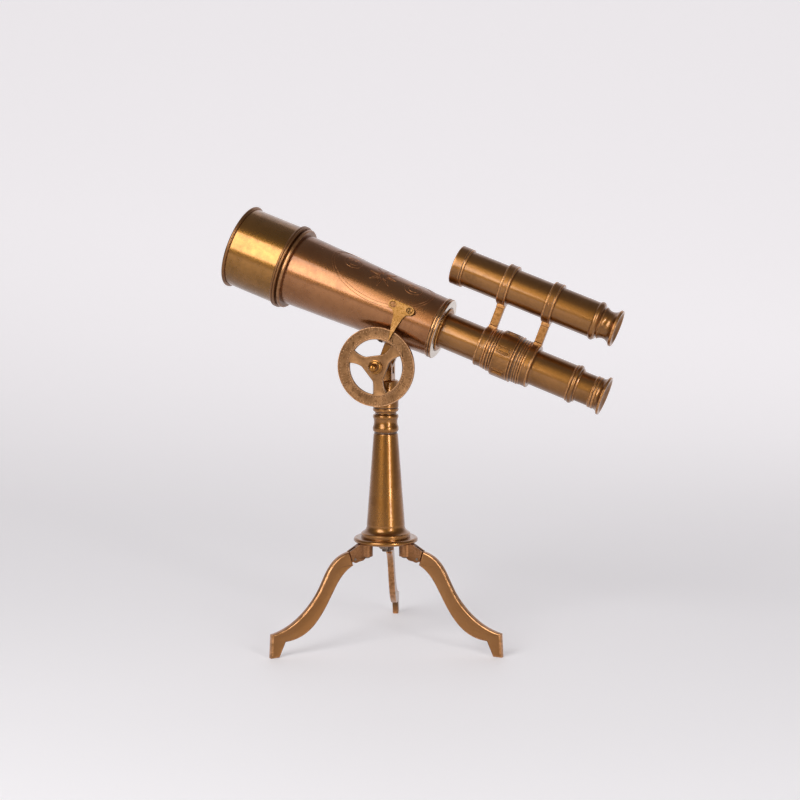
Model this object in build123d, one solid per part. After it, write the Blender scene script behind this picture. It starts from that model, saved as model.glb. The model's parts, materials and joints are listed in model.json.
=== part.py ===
from build123d import *
import math
import os

# A brass table telescope on a folding tripod. Millimetres, +Z up.
# The origin is on the column's axis, in the plane of the three soles.
# The tilt axle lies along Y. Tube parts are drawn level, about the tilt axle,
# with x growing towards the eyepiece, and are then tilted and lifted into place.

# ---- driving dimensions ----
ALTITUDE = 20.8         # the tube's rest slope, objective up, in degrees
AXLE_Z = 185.2          # height of the tilt axle
TUBE_RISE = 35.7        # main tube's axis above the tilt axle, square to the tube
FINDER_RISE = 78.1      # finder's axis above the tilt axle, square to the tube
RUNNING = 0.05          # radial clearance of a running fit
SEATED = 0.01           # radial clearance of a pin or tube that is fixed in place
GAP = 0.3               # air between bodies that only pass each other

# tripod
LEG_TURNS = (102.0, 226.5, 348.5)   # leg directions about Z, in degrees
LEG_NAMES = ("back", "left", "right")
LEG_THICK = 4.2
TONGUE_THICK = 1.5
LUG_SLOT = 1.8
PIN_R = 0.9
PIN_AT = (24.14, 58.32)             # hinge pin: distance from Z, height
SEAM_LEAN = 18.0                    # the leg's shoulder leans this far from upright
FINGER_R = 2.1                      # the lug's rounded end, about the pin
PLATE_R = 21.2
PLATE_LOW = 67.8
PLATE_TOP = 71.0
BOSS_AT = 14.6          # the lug bosses' distance from the column's axis
BOSS_LOW = 59.4
SOLE_IN = 79.1
SOLE_OUT = 85.1
ROD_R = 3.5
STUD_R = 2.5
ROD_STEP = 118.0
ROD_TOP = 170.0
COLUMN_TOP = 153.0
HEAD_LOW = 153.3
HEAD_TOP = 175.0
HEAD_R = 8.45
GRUB_R = 0.9
GRUB_Z = 164.2

# fork, axle and wheel
AXLE_R = 2.0
FORK_HALF_X = 5.2
FORK_HALF_Y = 4.2
TONGUE_HALF = 1.5
WHEEL_BACK = -20.0
WHEEL_FRONT = -22.4
WHEEL_R = 25.7
WHEEL_BORE_RIM = 17.7
WHEEL_SPOKE_TURN = 38.5
AXLE_FRONT = -26.6
AXLE_TIP_R = 1.3
AXLE_BACK = 8.0

# pointer, on the barrel's side: ear places, and the plate's faces at the ears and the tip
POINTER_X = 2.3
POINTER_EARS = 5.8
POINTER_EAR_Z = 42.0
POINTER_PLATE = (-21.9, -21.0)
POINTER_TIP = (-23.9, -23.0)

# stations along the tube, measured from the tilt axle
HOOD_FRONT = -120.4
HOOD_BACK = -81.1
HOOD_R = 26.6
HOOD_WALL = 0.9
CELL_FRONT = -106.0
BARREL_FRONT = -77.9
BARREL_BACK = 24.2
BARREL_FRONT_R = 23.85
BARREL_BACK_R = 19.55
BARREL_WALL = 1.2
FLANGE_BACK = 28.2
BUSH_BACK = 29.1
DRAW_FRONT = -20.0
DRAW_R = 11.56
DRAW_BORE = 10.7
FRONT_CLAMP = (54.8, 60.9)
SLEEVE = (61.0, 85.7)
REAR_CLAMP = (85.8, 91.9)
COLLAR = (117.8, 123.3)
DRAW_BACK = 121.6
EYEPIECE_FRONT = 100.0
EYE_BACK = 141.0
NECK_R = 9.9
NECK_BUSH = 108.0       # where the collar's inner bush for the eyepiece tube starts
FIELD_STOP = 88.0
CLAMP_R = (13.4, 14.2)  # outer radii of the front and rear clamp rings
FINDER_FRONT = 22.6
FINDER_COLLAR = (117.2, 121.0)
FINDER_BACK = 119.6
FINDER_EYE_BACK = 132.5
FINDER_NECK_R = 9.3
FINDER_NECK_BUSH = 113.0
FINDER_R = 11.6
FINDER_RING_R = 13.5
SET_SCREW_R = 1.0
POST_WIDE = 5.4
POST_SHIFT = 0.3        # the posts stand this far behind the middle of their rings
POST_THICK = 3.6


# ---- helpers ----
def outline(start, *steps):
    """A closed face on the XZ plane. A step is a point, or a (through, end) pair for an arc."""
    edges = []
    here = start
    for step in steps:
        if isinstance(step[0], tuple):
            edges.append(ThreePointArc(here, step[0], step[1]))
            here = step[1]
        else:
            edges.append(Line(here, step))
            here = step
    if here != start:
        edges.append(Line(here, start))
    return Plane.XZ * Face(Wire(edges))


def turned(start, *steps):
    """A solid turned about Z from an outline of (radius, height) points."""
    return revolve(outline(start, *steps), Axis.Z)


def lathed(rise, start, *steps):
    """A solid turned about the tube's axis from (station, radius) points."""
    return Pos(0, 0, rise) * revolve(outline(start, *steps), Axis.X)


def ring(rise, x0, x1, inner, outer, ease=0.4):
    """A plain ring about a tube axis, with its outer corners eased."""
    return lathed(
        rise,
        (x0, inner), (x0, outer - ease), (x0 + ease, outer),
        (x1 - ease, outer), (x1, outer - ease), (x1, inner),
    )


def rod_y(radius, y0, y1, x=0.0, z=0.0):
    """A round bar along Y."""
    bar = Cylinder(radius, abs(y1 - y0), rotation=(90, 0, 0))
    return Pos(x, (y0 + y1) / 2, z) * bar


def box_between(x0, x1, y0, y1, z0, z1):
    """A block from its two corners."""
    block = Box(x1 - x0, y1 - y0, z1 - z0)
    return Pos((x0 + x1) / 2, (y0 + y1) / 2, (z0 + z1) / 2) * block


def tilted(shape):
    """Take a shape drawn level about the tilt axle to its place at rest."""
    return Location((0, 0, AXLE_Z), (0, ALTITUDE, 0)) * shape


def lens(rise, x0, radius, edge, bulge):
    """A biconvex lens whose edge starts at station x0."""
    x1 = x0 + edge
    half = radius / 2
    sphere = (radius ** 2 + bulge ** 2) / (2 * bulge)
    depth = bulge - sphere + math.sqrt(sphere ** 2 - half ** 2)
    return lathed(
        rise,
        (x0 - bulge, 0.0), ((x0 - depth, half), (x0, radius)),
        (x1, radius), ((x1 + depth, half), (x1 + bulge, 0.0)),
    )


def barrel_radius(station):
    """The barrel's outer radius at a station."""
    along = (station - BARREL_FRONT) / (BARREL_BACK - BARREL_FRONT)
    return BARREL_FRONT_R + along * (BARREL_BACK_R - BARREL_FRONT_R)


# ---- tripod ----
def base_plate():
    """The round plate, with a rounded rim, that the column and the lugs bolt to."""
    mid = (PLATE_LOW + PLATE_TOP) / 2
    rim = PLATE_R - 1.5
    return turned(
        (STUD_R + SEATED, PLATE_LOW), (rim, PLATE_LOW),
        ((PLATE_R, mid), (rim, PLATE_TOP)), (STUD_R + SEATED, PLATE_TOP),
    )


def column():
    """The tapered column: stepped foot, long taper, two turned rings at its neck."""
    bore = ROD_R + SEATED
    stud = STUD_R + SEATED
    return turned(
        (stud, PLATE_TOP), (16.3, PLATE_TOP), (16.3, 73.6), (15.7, 74.2),
        ((13.7, 75.6), (12.6, 79.4)), (8.05, 139.4), (7.55, 139.9), (7.55, 141.0),
        (8.1, 141.2), ((8.55, 143.1), (8.1, 145.0)), ((7.75, 147.4), (8.0, 149.6)),
        ((8.45, 151.1), (8.0, 152.4)), (7.1, 152.6), (7.1, COLUMN_TOP),
        (bore, COLUMN_TOP), (bore, ROD_STEP), (stud, ROD_STEP),
    )


def pivot_rod():
    """The rod through the column: a thin stud below, the head's pivot on top."""
    groove_r = 2.9
    return turned(
        (0, 61.2), (STUD_R, 61.2), (STUD_R, ROD_STEP), (ROD_R, ROD_STEP),
        (ROD_R, 163.0), (groove_r, 163.0), (groove_r, 165.4), (ROD_R, 165.4),
        (ROD_R, ROD_TOP), (0, ROD_TOP),
    )


def hex_nut(across, tall, bore):
    """A hexagonal nut standing on z = 0."""
    body = extrude(RegularPolygon(across / 2, 6, major_radius=False), tall)
    return body - Cylinder(bore, tall * 3)


def rod_washer():
    disc = Pos(0, 0, PLATE_LOW - 0.5) * Cylinder(5.4, 1.0)
    return disc - Cylinder(STUD_R + SEATED, 400)


def rod_nut():
    return Pos(0, 0, 63.2) * hex_nut(8.6, 3.6, STUD_R + SEATED)


def seam_frame():
    """Unit vectors along the leg and up its shoulder, in the leg's own plane."""
    lean = math.radians(SEAM_LEAN)
    along = (math.cos(lean), -math.sin(lean))
    up = (math.sin(lean), math.cos(lean))
    return along, up


def from_pin(along, up):
    """A point given from the hinge pin, along the leg and up its shoulder."""
    a, u = seam_frame()
    return (PIN_AT[0] + along * a[0] + up * u[0], PIN_AT[1] + along * a[1] + up * u[1])


def slab(face, thick):
    """A flat plate, centred on the XZ plane, from a face on it."""
    return extrude(face, amount=thick / 2, both=True)


def leg_lug():
    """A cast lug under the plate: a round boss and a slotted arm for the leg."""
    boss_r = 4.2
    top = PLATE_LOW
    boss = Pos(BOSS_AT, 0, (BOSS_LOW + top) / 2) * Cylinder(boss_r, top - BOSS_LOW)
    arm = outline(
        (BOSS_AT, top), (BOSS_AT, BOSS_LOW + 0.2), from_pin(-5.4, -3.1), from_pin(-1.9, -2.5),
        (from_pin(FINGER_R * 0.6, -FINGER_R * 0.8), from_pin(FINGER_R, 0)),
        from_pin(FINGER_R, 6.3), (20.6, top),
    )
    solid = boss + slab(arm, LEG_THICK)
    slot = outline(
        from_pin(-3.5, -9), from_pin(9, -9), from_pin(9, 14), from_pin(-3.5, 14),
    )
    solid -= slab(slot, LUG_SLOT)
    solid -= Pos(BOSS_AT, 0, BOSS_LOW - 3.0) * Cylinder(2.8, 6.0)
    return solid - rod_y(PIN_R + SEATED, -5, 5, *PIN_AT)


def leg():
    """One cabriole leg: a flat S-shaped plate with a short upright foot and a hinge tongue."""
    shoulder = FINGER_R + 0.15
    relief = FINGER_R + 0.3
    root_top = from_pin(shoulder, 6.2)
    root_low = from_pin(shoulder, -3.4)
    relief_low = from_pin(relief * 0.72, -relief * 0.694)
    knee_top = (84.3, 15.4)
    knee_low = (74.6, 9.6)
    upper = Spline(root_top, (42.1, 54.5), (49.6, 41.0), (62.6, 25.6), knee_top)
    lower = Spline(knee_low, (52.9, 19.2), (40.9, 36.8), (34.1, 47.4), root_low)
    edges = [
        upper,
        Line(knee_top, (SOLE_OUT, 0)),
        Line((SOLE_OUT, 0), (SOLE_IN, 0)),
        Line((SOLE_IN, 0), knee_low),
        lower,
        Line(root_low, root_top),
    ]
    body = slab(Plane.XZ * Face(Wire(edges)), LEG_THICK)
    body -= rod_y(relief, -5, 5, *PIN_AT)
    tongue = outline(
        from_pin(-0.3, 3.0), from_pin(shoulder + 2.0, 3.0),
        from_pin(shoulder + 2.0, -2.9), from_pin(-0.3, -2.9),
        (from_pin(-3.2, 0.05), from_pin(-0.3, 3.0)),
    )
    body += slab(tongue, TONGUE_THICK)
    return body - rod_y(PIN_R + RUNNING, -5, 5, *PIN_AT)


def around(shape, turn):
    """Turn a leg part, drawn towards +X, to its place about Z."""
    return Rot(0, 0, turn) * shape


def hinge_pin():
    return rod_y(PIN_R, -LEG_THICK / 2 - 0.4, LEG_THICK / 2 + 0.4, *PIN_AT)


def lug_screw():
    """The cheese-head screw that goes up through a lug's boss into the plate."""
    head = Pos(BOSS_AT, 0, BOSS_LOW - 0.6) * Cylinder(2.6, 1.2)
    slot = Pos(BOSS_AT, 0, BOSS_LOW - 1.1) * Box(6.0, 0.7, 0.8)
    return head - slot


# ---- swivel head ----
def swivel_head():
    """The turned block that turns on the pivot rod and carries the fork."""
    bore = ROD_R + RUNNING
    tenon = 3.0 + SEATED
    body = turned(
        (bore, HEAD_LOW), (7.1, HEAD_LOW), (7.1, 154.2), (8.0, 154.4),
        (HEAD_R, 155.2), (HEAD_R, 174.2), (7.7, HEAD_TOP), (tenon, HEAD_TOP),
        (tenon, ROD_TOP + 0.3), (bore, ROD_TOP + 0.3),
    )
    return body - rod_y(GRUB_R + SEATED, 3.0, 10.0, 0, GRUB_Z)


def swivel_set_screw():
    """The grub screw whose tip rides in the pivot rod's groove."""
    body = rod_y(GRUB_R, 3.1, 7.9, 0, GRUB_Z)
    return body - box_between(-1.0, 1.0, 7.4, 8.4, GRUB_Z - 0.25, GRUB_Z + 0.25)


def fork():
    """The slotted yoke on the head: two round-topped cheeks, with a tenon below."""
    width = 2 * FORK_HALF_X
    cheek = rod_y(FORK_HALF_X, -FORK_HALF_Y, FORK_HALF_Y, 0, AXLE_Z)
    block = box_between(-FORK_HALF_X, FORK_HALF_X, -FORK_HALF_Y, FORK_HALF_Y, HEAD_TOP, AXLE_Z)
    tenon = Pos(0, 0, 172.8) * Cylinder(3.0, 4.4)
    floor = AXLE_Z - FORK_HALF_X - 0.8
    slot = box_between(-width, width, -TONGUE_HALF - 0.1, TONGUE_HALF + 0.1, floor, AXLE_Z + width)
    return cheek + block + tenon - slot - rod_y(AXLE_R + SEATED, -9, 9, 0, AXLE_Z)


def tilt_axle():
    """The axle, with a thinner tip for the knob."""
    step = WHEEL_FRONT - 0.05
    tip = rod_y(AXLE_TIP_R, AXLE_FRONT, step + 1, 0, AXLE_Z)
    return rod_y(AXLE_R, step, AXLE_BACK, 0, AXLE_Z) + tip


def axle_sleeve():
    """The spacer that holds the wheel clear of the barrel."""
    outside = rod_y(3.9, WHEEL_BACK + GAP, -FORK_HALF_Y, 0, AXLE_Z)
    flange = rod_y(4.9, -FORK_HALF_Y - 1.2, -FORK_HALF_Y, 0, AXLE_Z)
    return outside + flange - rod_y(AXLE_R + SEATED, -40, 40, 0, AXLE_Z)


def axle_washer():
    disc = rod_y(4.4, FORK_HALF_Y, FORK_HALF_Y + 0.7, 0, AXLE_Z)
    return disc - rod_y(AXLE_R + SEATED, 0, 40, 0, AXLE_Z)


def axle_nut():
    nut = Rot(-90, 0, 0) * hex_nut(7.0, 2.4, AXLE_R + SEATED)
    return Pos(0, FORK_HALF_Y + 0.7, AXLE_Z) * nut


# ---- wheel and knob ----
def wheel_opening(middle):
    """One of the three windows between the spokes, as a face seen along Y."""
    def polar(radius, turn):
        at = math.radians(middle + turn)
        return (radius * math.cos(at), radius * math.sin(at))
    hub = 9.3
    low = polar(hub, -38.5)
    high = polar(hub, 38.5)
    rim_low = polar(WHEEL_BORE_RIM, -45.5)
    rim_high = polar(WHEEL_BORE_RIM, 45.5)
    return outline(
        low, (polar(13.2, -45.8), rim_low), (polar(WHEEL_BORE_RIM, 0), rim_high),
        (polar(13.2, 45.8), high),
    )


def tilt_wheel():
    """The altitude wheel: a flat rim, three flared spokes and a shallow lip round the rim."""
    wheel = rod_y(WHEEL_R, WHEEL_FRONT, WHEEL_BACK, 0, 0)
    for k in range(3):
        window = wheel_opening(WHEEL_SPOKE_TURN + 60 + 120 * k)
        wheel -= Pos(0, (WHEEL_FRONT + WHEEL_BACK) / 2, 0) * slab(window, 6)
    band = rod_y(24.6, WHEEL_FRONT, WHEEL_FRONT + 0.25) - rod_y(18.6, -30, 0)
    wheel -= band
    wheel -= rod_y(AXLE_R + RUNNING, -40, 0)
    return Pos(0, 0, AXLE_Z) * wheel


def wheel_knob():
    """The turned ball knob on the axle's end, with its stepped collar."""
    front = WHEEL_FRONT - 0.1
    ball_y = 5.9
    ball_r = 2.95
    stem_r = 2.0
    stem_end = ball_y - math.sqrt(ball_r ** 2 - stem_r ** 2)
    profile = outline(
        (0, 0), (4.6, 0), (4.6, 1.1), (3.4, 1.7), (2.3, 2.1), (stem_r, 2.6),
        (stem_r, stem_end), ((ball_r, ball_y), (0, ball_y + ball_r)),
    )
    knob = Rot(90, 0, 0) * revolve(profile, Axis.Z)
    knob = Pos(0, front, AXLE_Z) * knob
    return knob - rod_y(AXLE_TIP_R + RUNNING, AXLE_FRONT - 0.2, 0, 0, AXLE_Z)


# ---- tube ----
def barrel():
    """The tapered main body tube."""
    front_in = BARREL_FRONT_R - BARREL_WALL
    back_in = BARREL_BACK_R - BARREL_WALL
    body = lathed(
        TUBE_RISE, (BARREL_FRONT, front_in), (BARREL_FRONT, BARREL_FRONT_R),
        (BARREL_BACK, BARREL_BACK_R), (BARREL_BACK, back_in),
    )
    for side in (-1, 1):
        body -= rod_y(1.15 + SEATED, -25, 0, POINTER_X + side * POINTER_EARS, POINTER_EAR_Z)
    return body


def objective_cell():
    """The lens cell in front of the barrel, which the hood slides on."""
    guide = HOOD_R - HOOD_WALL - RUNNING
    spigot = BARREL_FRONT_R - BARREL_WALL - 0.4
    stop = 27.1
    return lathed(
        TUBE_RISE, (CELL_FRONT, 23.4), (CELL_FRONT, guide), (-80.1, guide),
        (-80.1, stop - 0.5), (-79.6, stop), (-78.5, stop), (BARREL_FRONT, stop - 0.5),
        (BARREL_FRONT, spigot), (-70.0, spigot), (-70.0, 21.2), (-98.0, 21.2),
        (-98.0, 23.4),
    )


def objective_lens():
    return lens(TUBE_RISE, -100.55, 23.3, 2.2, 1.4)


def lens_ring():
    return ring(TUBE_RISE, -105.6, -100.9, 21.4, 23.38, 0.2)


def rear_flange():
    """The turned ring that closes the barrel's back end, with a spigot inside it."""
    inner = 13.3
    spigot = BARREL_BACK_R - BARREL_WALL - 0.05
    return lathed(
        TUBE_RISE, (14.0, inner), (14.0, spigot), (BARREL_BACK + 0.02, spigot),
        (BARREL_BACK + 0.02, 19.7), (24.8, 20.2), (27.6, 20.2), (FLANGE_BACK, 19.6),
        (FLANGE_BACK, inner),
    )


def draw_bush():
    """The bright bush that the draw tube slides in."""
    return lathed(
        TUBE_RISE, (9.0, DRAW_R + RUNNING), (9.0, 13.28), (FLANGE_BACK, 13.28),
        (FLANGE_BACK, 14.3), (BUSH_BACK - 0.3, 14.3), (BUSH_BACK, 14.0),
        (BUSH_BACK, DRAW_R + RUNNING),
    )


def barrel_cone(grow, x0, x1):
    """The barrel's outer cone between two stations, grown by a wall."""
    return lathed(
        TUBE_RISE, (x0, 0), (x0, barrel_radius(x0) + grow), (x1, barrel_radius(x1) + grow), (x1, 0),
    )


def tilt_bracket():
    """The saddle under the barrel, with the tongue that hangs on the axle."""
    half_long = 9.5
    wrap_low = TUBE_RISE - 24.0
    saddle = barrel_cone(2.0, -half_long, half_long)
    saddle &= box_between(-half_long, half_long, -11.5, 11.5, wrap_low, TUBE_RISE - 10)
    tongue = box_between(-FORK_HALF_X, FORK_HALF_X, -TONGUE_HALF, TONGUE_HALF, 0, TUBE_RISE - 18)
    tongue += rod_y(FORK_HALF_X, -TONGUE_HALF, TONGUE_HALF)
    body = saddle + tongue - barrel_cone(0.0, -half_long - 1, half_long + 1)
    return body - rod_y(AXLE_R + RUNNING, -9, 9)


def bracket_screws():
    """Four round-head screws through the saddle."""
    screws = []
    for x in (-6.6, 6.6):
        for lean in (-20, 20):
            reach = barrel_radius(x) + 2.8
            head = Pos(0, 0, -reach) * Cylinder(1.7, 1.2)
            screws.append(Pos(x, 0, TUBE_RISE) * Rot(lean, 0, 0) * head)
    return screws


def pointer():
    """The sheet-brass pointer: two round ears, a tapering hand and a small set-off to the wheel."""
    tip_z = 19.3
    hand = outline(
        (POINTER_X - POINTER_EARS, 45.0), (POINTER_X + POINTER_EARS, 45.0),
        (POINTER_X + POINTER_EARS, 40.2),
        ((POINTER_X + 3.2, 38.0), (POINTER_X + 2.0, 33.5)),
        (POINTER_X + 0.25, tip_z), (POINTER_X - 0.25, tip_z),
        (POINTER_X - 2.0, 33.5),
        ((POINTER_X - 3.2, 38.0), (POINTER_X - POINTER_EARS, 40.2)),
    )
    flat = Pos(0, -22, 0) * slab(hand, 8)
    for side in (-1, 1):
        flat += rod_y(3.2, -27, -17, POINTER_X + side * POINTER_EARS, POINTER_EAR_Z)
    near, far = POINTER_PLATE
    tip_near, tip_far = POINTER_TIP
    strip = Plane.YZ * make_face(Polyline(
        (near, 50), (far, 50), (far, 33), (tip_far, 27.5), (tip_far, 10),
        (tip_near, 10), (tip_near, 27.0), (near, 32.5), close=True,
    ))
    strip = Pos(-20, 0, 0) * extrude(strip, 60)
    plate = flat & strip
    for side in (-1, 1):
        plate -= rod_y(1.2, -30, -15, POINTER_X + side * POINTER_EARS, POINTER_EAR_Z)
    return plate


def pointer_screws():
    """Two slotted screws through the pointer's ears."""
    screws = []
    for side, turn in ((-1, 35), (1, 80)):
        head = rod_y(2.0, -22.9, POINTER_PLATE[0])
        head += rod_y(1.15, POINTER_PLATE[0], -18.6)
        head -= Rot(0, turn, 0) * box_between(-3, 3, -23.4, -22.5, -0.3, 0.3)
        screws.append(Pos(POINTER_X + side * POINTER_EARS, 0, POINTER_EAR_Z) * head)
    return screws


def pointer_spacers():
    """Two collars between the barrel's side and the pointer."""
    collars = []
    for side in (-1, 1):
        collar = rod_y(2.3, POINTER_PLATE[1], -18.0) - rod_y(1.2, -30, 0)
        collar = Pos(POINTER_X + side * POINTER_EARS, 0, POINTER_EAR_Z) * collar
        collars.append(collar - barrel_cone(0.0, -20, 20))
    return collars


# ---- hood ----
def hood_tube():
    inner = HOOD_R - HOOD_WALL
    return lathed(
        TUBE_RISE, (HOOD_FRONT + 0.6, inner), (HOOD_FRONT + 0.6, HOOD_R),
        (HOOD_BACK - 0.4, HOOD_R), (HOOD_BACK - 0.4, inner),
    )


def bead(rise, x0, x1, seat, crown):
    """A half-round bead on a tube of radius seat."""
    mid = (x0 + x1) / 2
    shoulder = seat + (crown - seat) * 0.45
    return lathed(rise, (x0, seat), (x0, shoulder), ((mid, crown), (x1, shoulder)), (x1, seat))


def hood_front_rim():
    """The rolled lip round the hood's mouth."""
    inner = HOOD_R - HOOD_WALL
    x0 = HOOD_FRONT
    x1 = HOOD_FRONT + 2.3
    mouth = x0 + 0.6
    return lathed(
        TUBE_RISE, (x0, inner), (x0, 27.2), ((x0 + 1.1, 28.1), (x1, 27.2)),
        (x1, HOOD_R), (mouth, HOOD_R), (mouth, inner),
    )


def hood_back_ring():
    return bead(TUBE_RISE, HOOD_BACK - 3.2, HOOD_BACK, HOOD_R, 28.2)


# ---- draw tube and finder ----
def draw_tube():
    return lathed(
        TUBE_RISE, (DRAW_FRONT, DRAW_BORE), (DRAW_FRONT, DRAW_R), (DRAW_BACK, DRAW_R),
        (DRAW_BACK, DRAW_BORE),
    )


def draw_stop_ring():
    """The ring on the draw tube's inner end that stops it leaving the bush."""
    return ring(TUBE_RISE, DRAW_FRONT, DRAW_FRONT + 4.0, DRAW_R + SEATED, 13.0, 0.3)


def field_stop():
    """The thin blackened disc inside the draw tube."""
    return ring(TUBE_RISE, FIELD_STOP, FIELD_STOP + 1.0, 6.5, DRAW_BORE - SEATED, 0.1)


def post_lug(x0, x1, low, high):
    """The flat block between a clamp ring and its post."""
    mid = (x0 + x1) / 2 + POST_SHIFT
    half = POST_WIDE / 2 + 0.1
    return box_between(mid - half, mid + half, -2.2, 2.2, low, high)


def clamp_ring(x0, x1, outer):
    """A clamp ring on the draw tube, with a lug on top for the post."""
    body = ring(TUBE_RISE, x0, x1, DRAW_R + SEATED, outer)
    body += post_lug(x0, x1, TUBE_RISE + outer - 0.8, TUBE_RISE + outer + 1.6)
    hole = Pos((x0 + x1) / 2, 0, TUBE_RISE) * rod_y(SET_SCREW_R + SEATED, -20, -11)
    return body - hole


def finder_ring(x0, x1):
    """A ring round the finder, with a lug below for the post."""
    outer = FINDER_RING_R
    seat = FINDER_R + SEATED
    body = ring(FINDER_RISE, x0, x1, seat, outer)
    body += post_lug(x0, x1, FINDER_RISE - outer - 1.9, FINDER_RISE - outer + 0.8)
    hole = Pos((x0 + x1) / 2, 0, FINDER_RISE) * rod_y(SET_SCREW_R + SEATED, -20, -11)
    return body - hole


def post(x0, x1, low, high):
    """The flat bar that carries the finder over the draw tube."""
    mid = (x0 + x1) / 2 + POST_SHIFT
    half = POST_WIDE / 2
    return box_between(mid - half, mid + half, -POST_THICK / 2, POST_THICK / 2, low, high)


def clamp_sleeve():
    """The decorated sleeve between the clamp rings: two stepped necks and a broad middle."""
    x0, x1 = SLEEVE
    return lathed(
        TUBE_RISE, (x0, DRAW_R + SEATED), (x0, 13.3), (61.5, 13.7), (62.4, 13.7),
        (62.7, 13.3), (63.3, 13.3), (63.6, 14.0), (64.4, 14.0), (64.7, 13.6),
        (66.2, 13.6), (66.7, 14.9), (67.3, 15.2), (78.3, 15.2), (78.8, 14.6),
        (79.2, 14.6), (79.5, 15.3), (80.2, 15.3), (80.6, 14.2), (84.6, 14.2),
        (84.9, 14.6), (85.4, 14.6), (x1, 14.2), (x1, DRAW_R + SEATED),
    )


def set_screw(x, rise, outer, turn):
    """A slotted grub screw in the near side of a ring, its slot turned by an angle."""
    body = rod_y(SET_SCREW_R, -outer + 0.1, -DRAW_R - 0.12)
    body -= Rot(0, turn, 0) * box_between(-2, 2, -outer, -outer + 0.55, -0.2, 0.2)
    return Pos(x, 0, rise) * body


def ring_screws():
    """Set screws, one in each of the four rings."""
    front = sum(FRONT_CLAMP) / 2
    rear = sum(REAR_CLAMP) / 2
    return [
        set_screw(front, TUBE_RISE, CLAMP_R[0], 20),
        set_screw(rear, TUBE_RISE, CLAMP_R[1], 75),
        set_screw(front, FINDER_RISE, FINDER_RING_R, 50),
        set_screw(rear, FINDER_RISE, FINDER_RING_R, 130),
    ]


def rear_collar():
    """The beaded collar on the draw tube's back end, with the eyepiece tube's bush inside."""
    x0, x1 = COLLAR
    end = DRAW_BACK
    return lathed(
        TUBE_RISE, (x0, DRAW_R + SEATED), (x0, 11.9), (118.2, 12.2), (118.9, 12.2),
        (119.2, 11.9), ((120.6, 12.75), (122.0, 11.9)), (122.3, 11.2), (x1, 10.9),
        (x1, NECK_R + RUNNING), (NECK_BUSH, NECK_R + RUNNING), (NECK_BUSH, DRAW_BORE - SEATED),
        (end, DRAW_BORE - SEATED), (end, DRAW_R + SEATED),
    )


def finder_tube():
    return lathed(
        FINDER_RISE, (FINDER_FRONT, DRAW_BORE), (FINDER_FRONT, FINDER_R), (FINDER_BACK, FINDER_R),
        (FINDER_BACK, DRAW_BORE),
    )


def finder_cap():
    """The wider cell on the finder's front end."""
    return lathed(
        FINDER_RISE, (21.4, 10.2), (21.4, 12.3), (21.8, 12.7), (29.1, 12.7),
        (29.5, 12.3), (29.5, FINDER_R + SEATED), (FINDER_FRONT, FINDER_R + SEATED),
        (FINDER_FRONT, 10.2),
    )


def finder_lens():
    return lens(FINDER_RISE, 24.2, 10.69, 1.8, 0.9)


def finder_collar():
    """The finder's back collar, with the bush for its eyepiece tube."""
    x0, x1 = FINDER_COLLAR
    end = FINDER_BACK
    return lathed(
        FINDER_RISE, (x0, FINDER_R + SEATED), (x0, 11.9), ((118.9, 12.6), (120.3, 11.8)),
        (x1, 11.0), (x1, FINDER_NECK_R + RUNNING), (FINDER_NECK_BUSH, FINDER_NECK_R + RUNNING),
        (FINDER_NECK_BUSH, DRAW_BORE - SEATED), (end, DRAW_BORE - SEATED),
        (end, FINDER_R + SEATED),
    )


# ---- eyepieces ----
def eyepiece_tube():
    """The inner tube of the main eyepiece, which focuses in the draw tube's collar."""
    return lathed(
        TUBE_RISE, (EYEPIECE_FRONT, 8.9), (EYEPIECE_FRONT, NECK_R), (132.4, NECK_R),
        (132.4, 8.9),
    )


def eyecup():
    """The main eyecup: a plain band and a flared mouth with a small eye hole."""
    back = EYE_BACK
    return lathed(
        TUBE_RISE, (126.0, 7.4), (126.0, 8.88), (132.4, 8.88), (132.4, 10.1),
        (132.9, 10.5), (135.9, 10.5), (136.3, 10.1), (136.6, 10.1),
        ((138.5, 10.9), (139.5, 12.4)), (139.8, 12.6), (140.7, 12.6), (back, 12.3),
        (back, 11.2), ((139.2, 7.6), (138.2, 4.2)), (136.0, 4.2), (136.0, 7.4),
    )


def eye_lens():
    return lens(TUBE_RISE, 131.4, 7.39, 1.6, 1.4)


def finder_eyepiece_tube():
    return lathed(
        FINDER_RISE, (107.0, 8.3), (107.0, FINDER_NECK_R), (122.0, FINDER_NECK_R),
        (122.0, 8.3),
    )


def finder_eyecup():
    """The finder's eyecup: a waisted neck that flares to the mouth."""
    back = FINDER_EYE_BACK
    return lathed(
        FINDER_RISE, (117.0, 6.9), (117.0, 8.28), (122.0, 8.28), (122.0, 10.2),
        (122.4, 10.5), (122.9, 10.1), ((126.0, 9.0), (130.2, 11.0)), (130.9, 11.9),
        (132.1, 11.9), (back, 11.6), (back, 10.6), ((130.4, 7.2), (129.4, 3.9)),
        (127.0, 3.9), (127.0, 6.9),
    )


def finder_eye_lens():
    return lens(FINDER_RISE, 122.6, 6.89, 1.5, 1.2)


# ---- write one STEP for each sub-part ----
os.makedirs("parts", exist_ok=True)


def save(name, shape):
    """Write a sub-part, a solid or a list of solids, to its own file."""
    solids = []
    for item in (shape if isinstance(shape, list) else [shape]):
        solids.extend(item.solids())
    export_step(solids[0] if len(solids) == 1 else Compound(children=solids), f"parts/{name}.step")


def moved(shape):
    """Tilt a shape, or each shape of a list."""
    return [tilted(item) for item in shape] if isinstance(shape, list) else tilted(shape)


for builder in (base_plate, column, pivot_rod, rod_washer, rod_nut):
    save(builder.__name__, builder())

save("hinge_pins", [around(hinge_pin(), turn) for turn in LEG_TURNS])
save("lug_screws", [around(lug_screw(), turn) for turn in LEG_TURNS])
for leg_name, leg_turn in zip(LEG_NAMES, LEG_TURNS):
    save(f"leg_lug_{leg_name}", around(leg_lug(), leg_turn))
    save(f"leg_{leg_name}", around(leg(), leg_turn))

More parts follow.
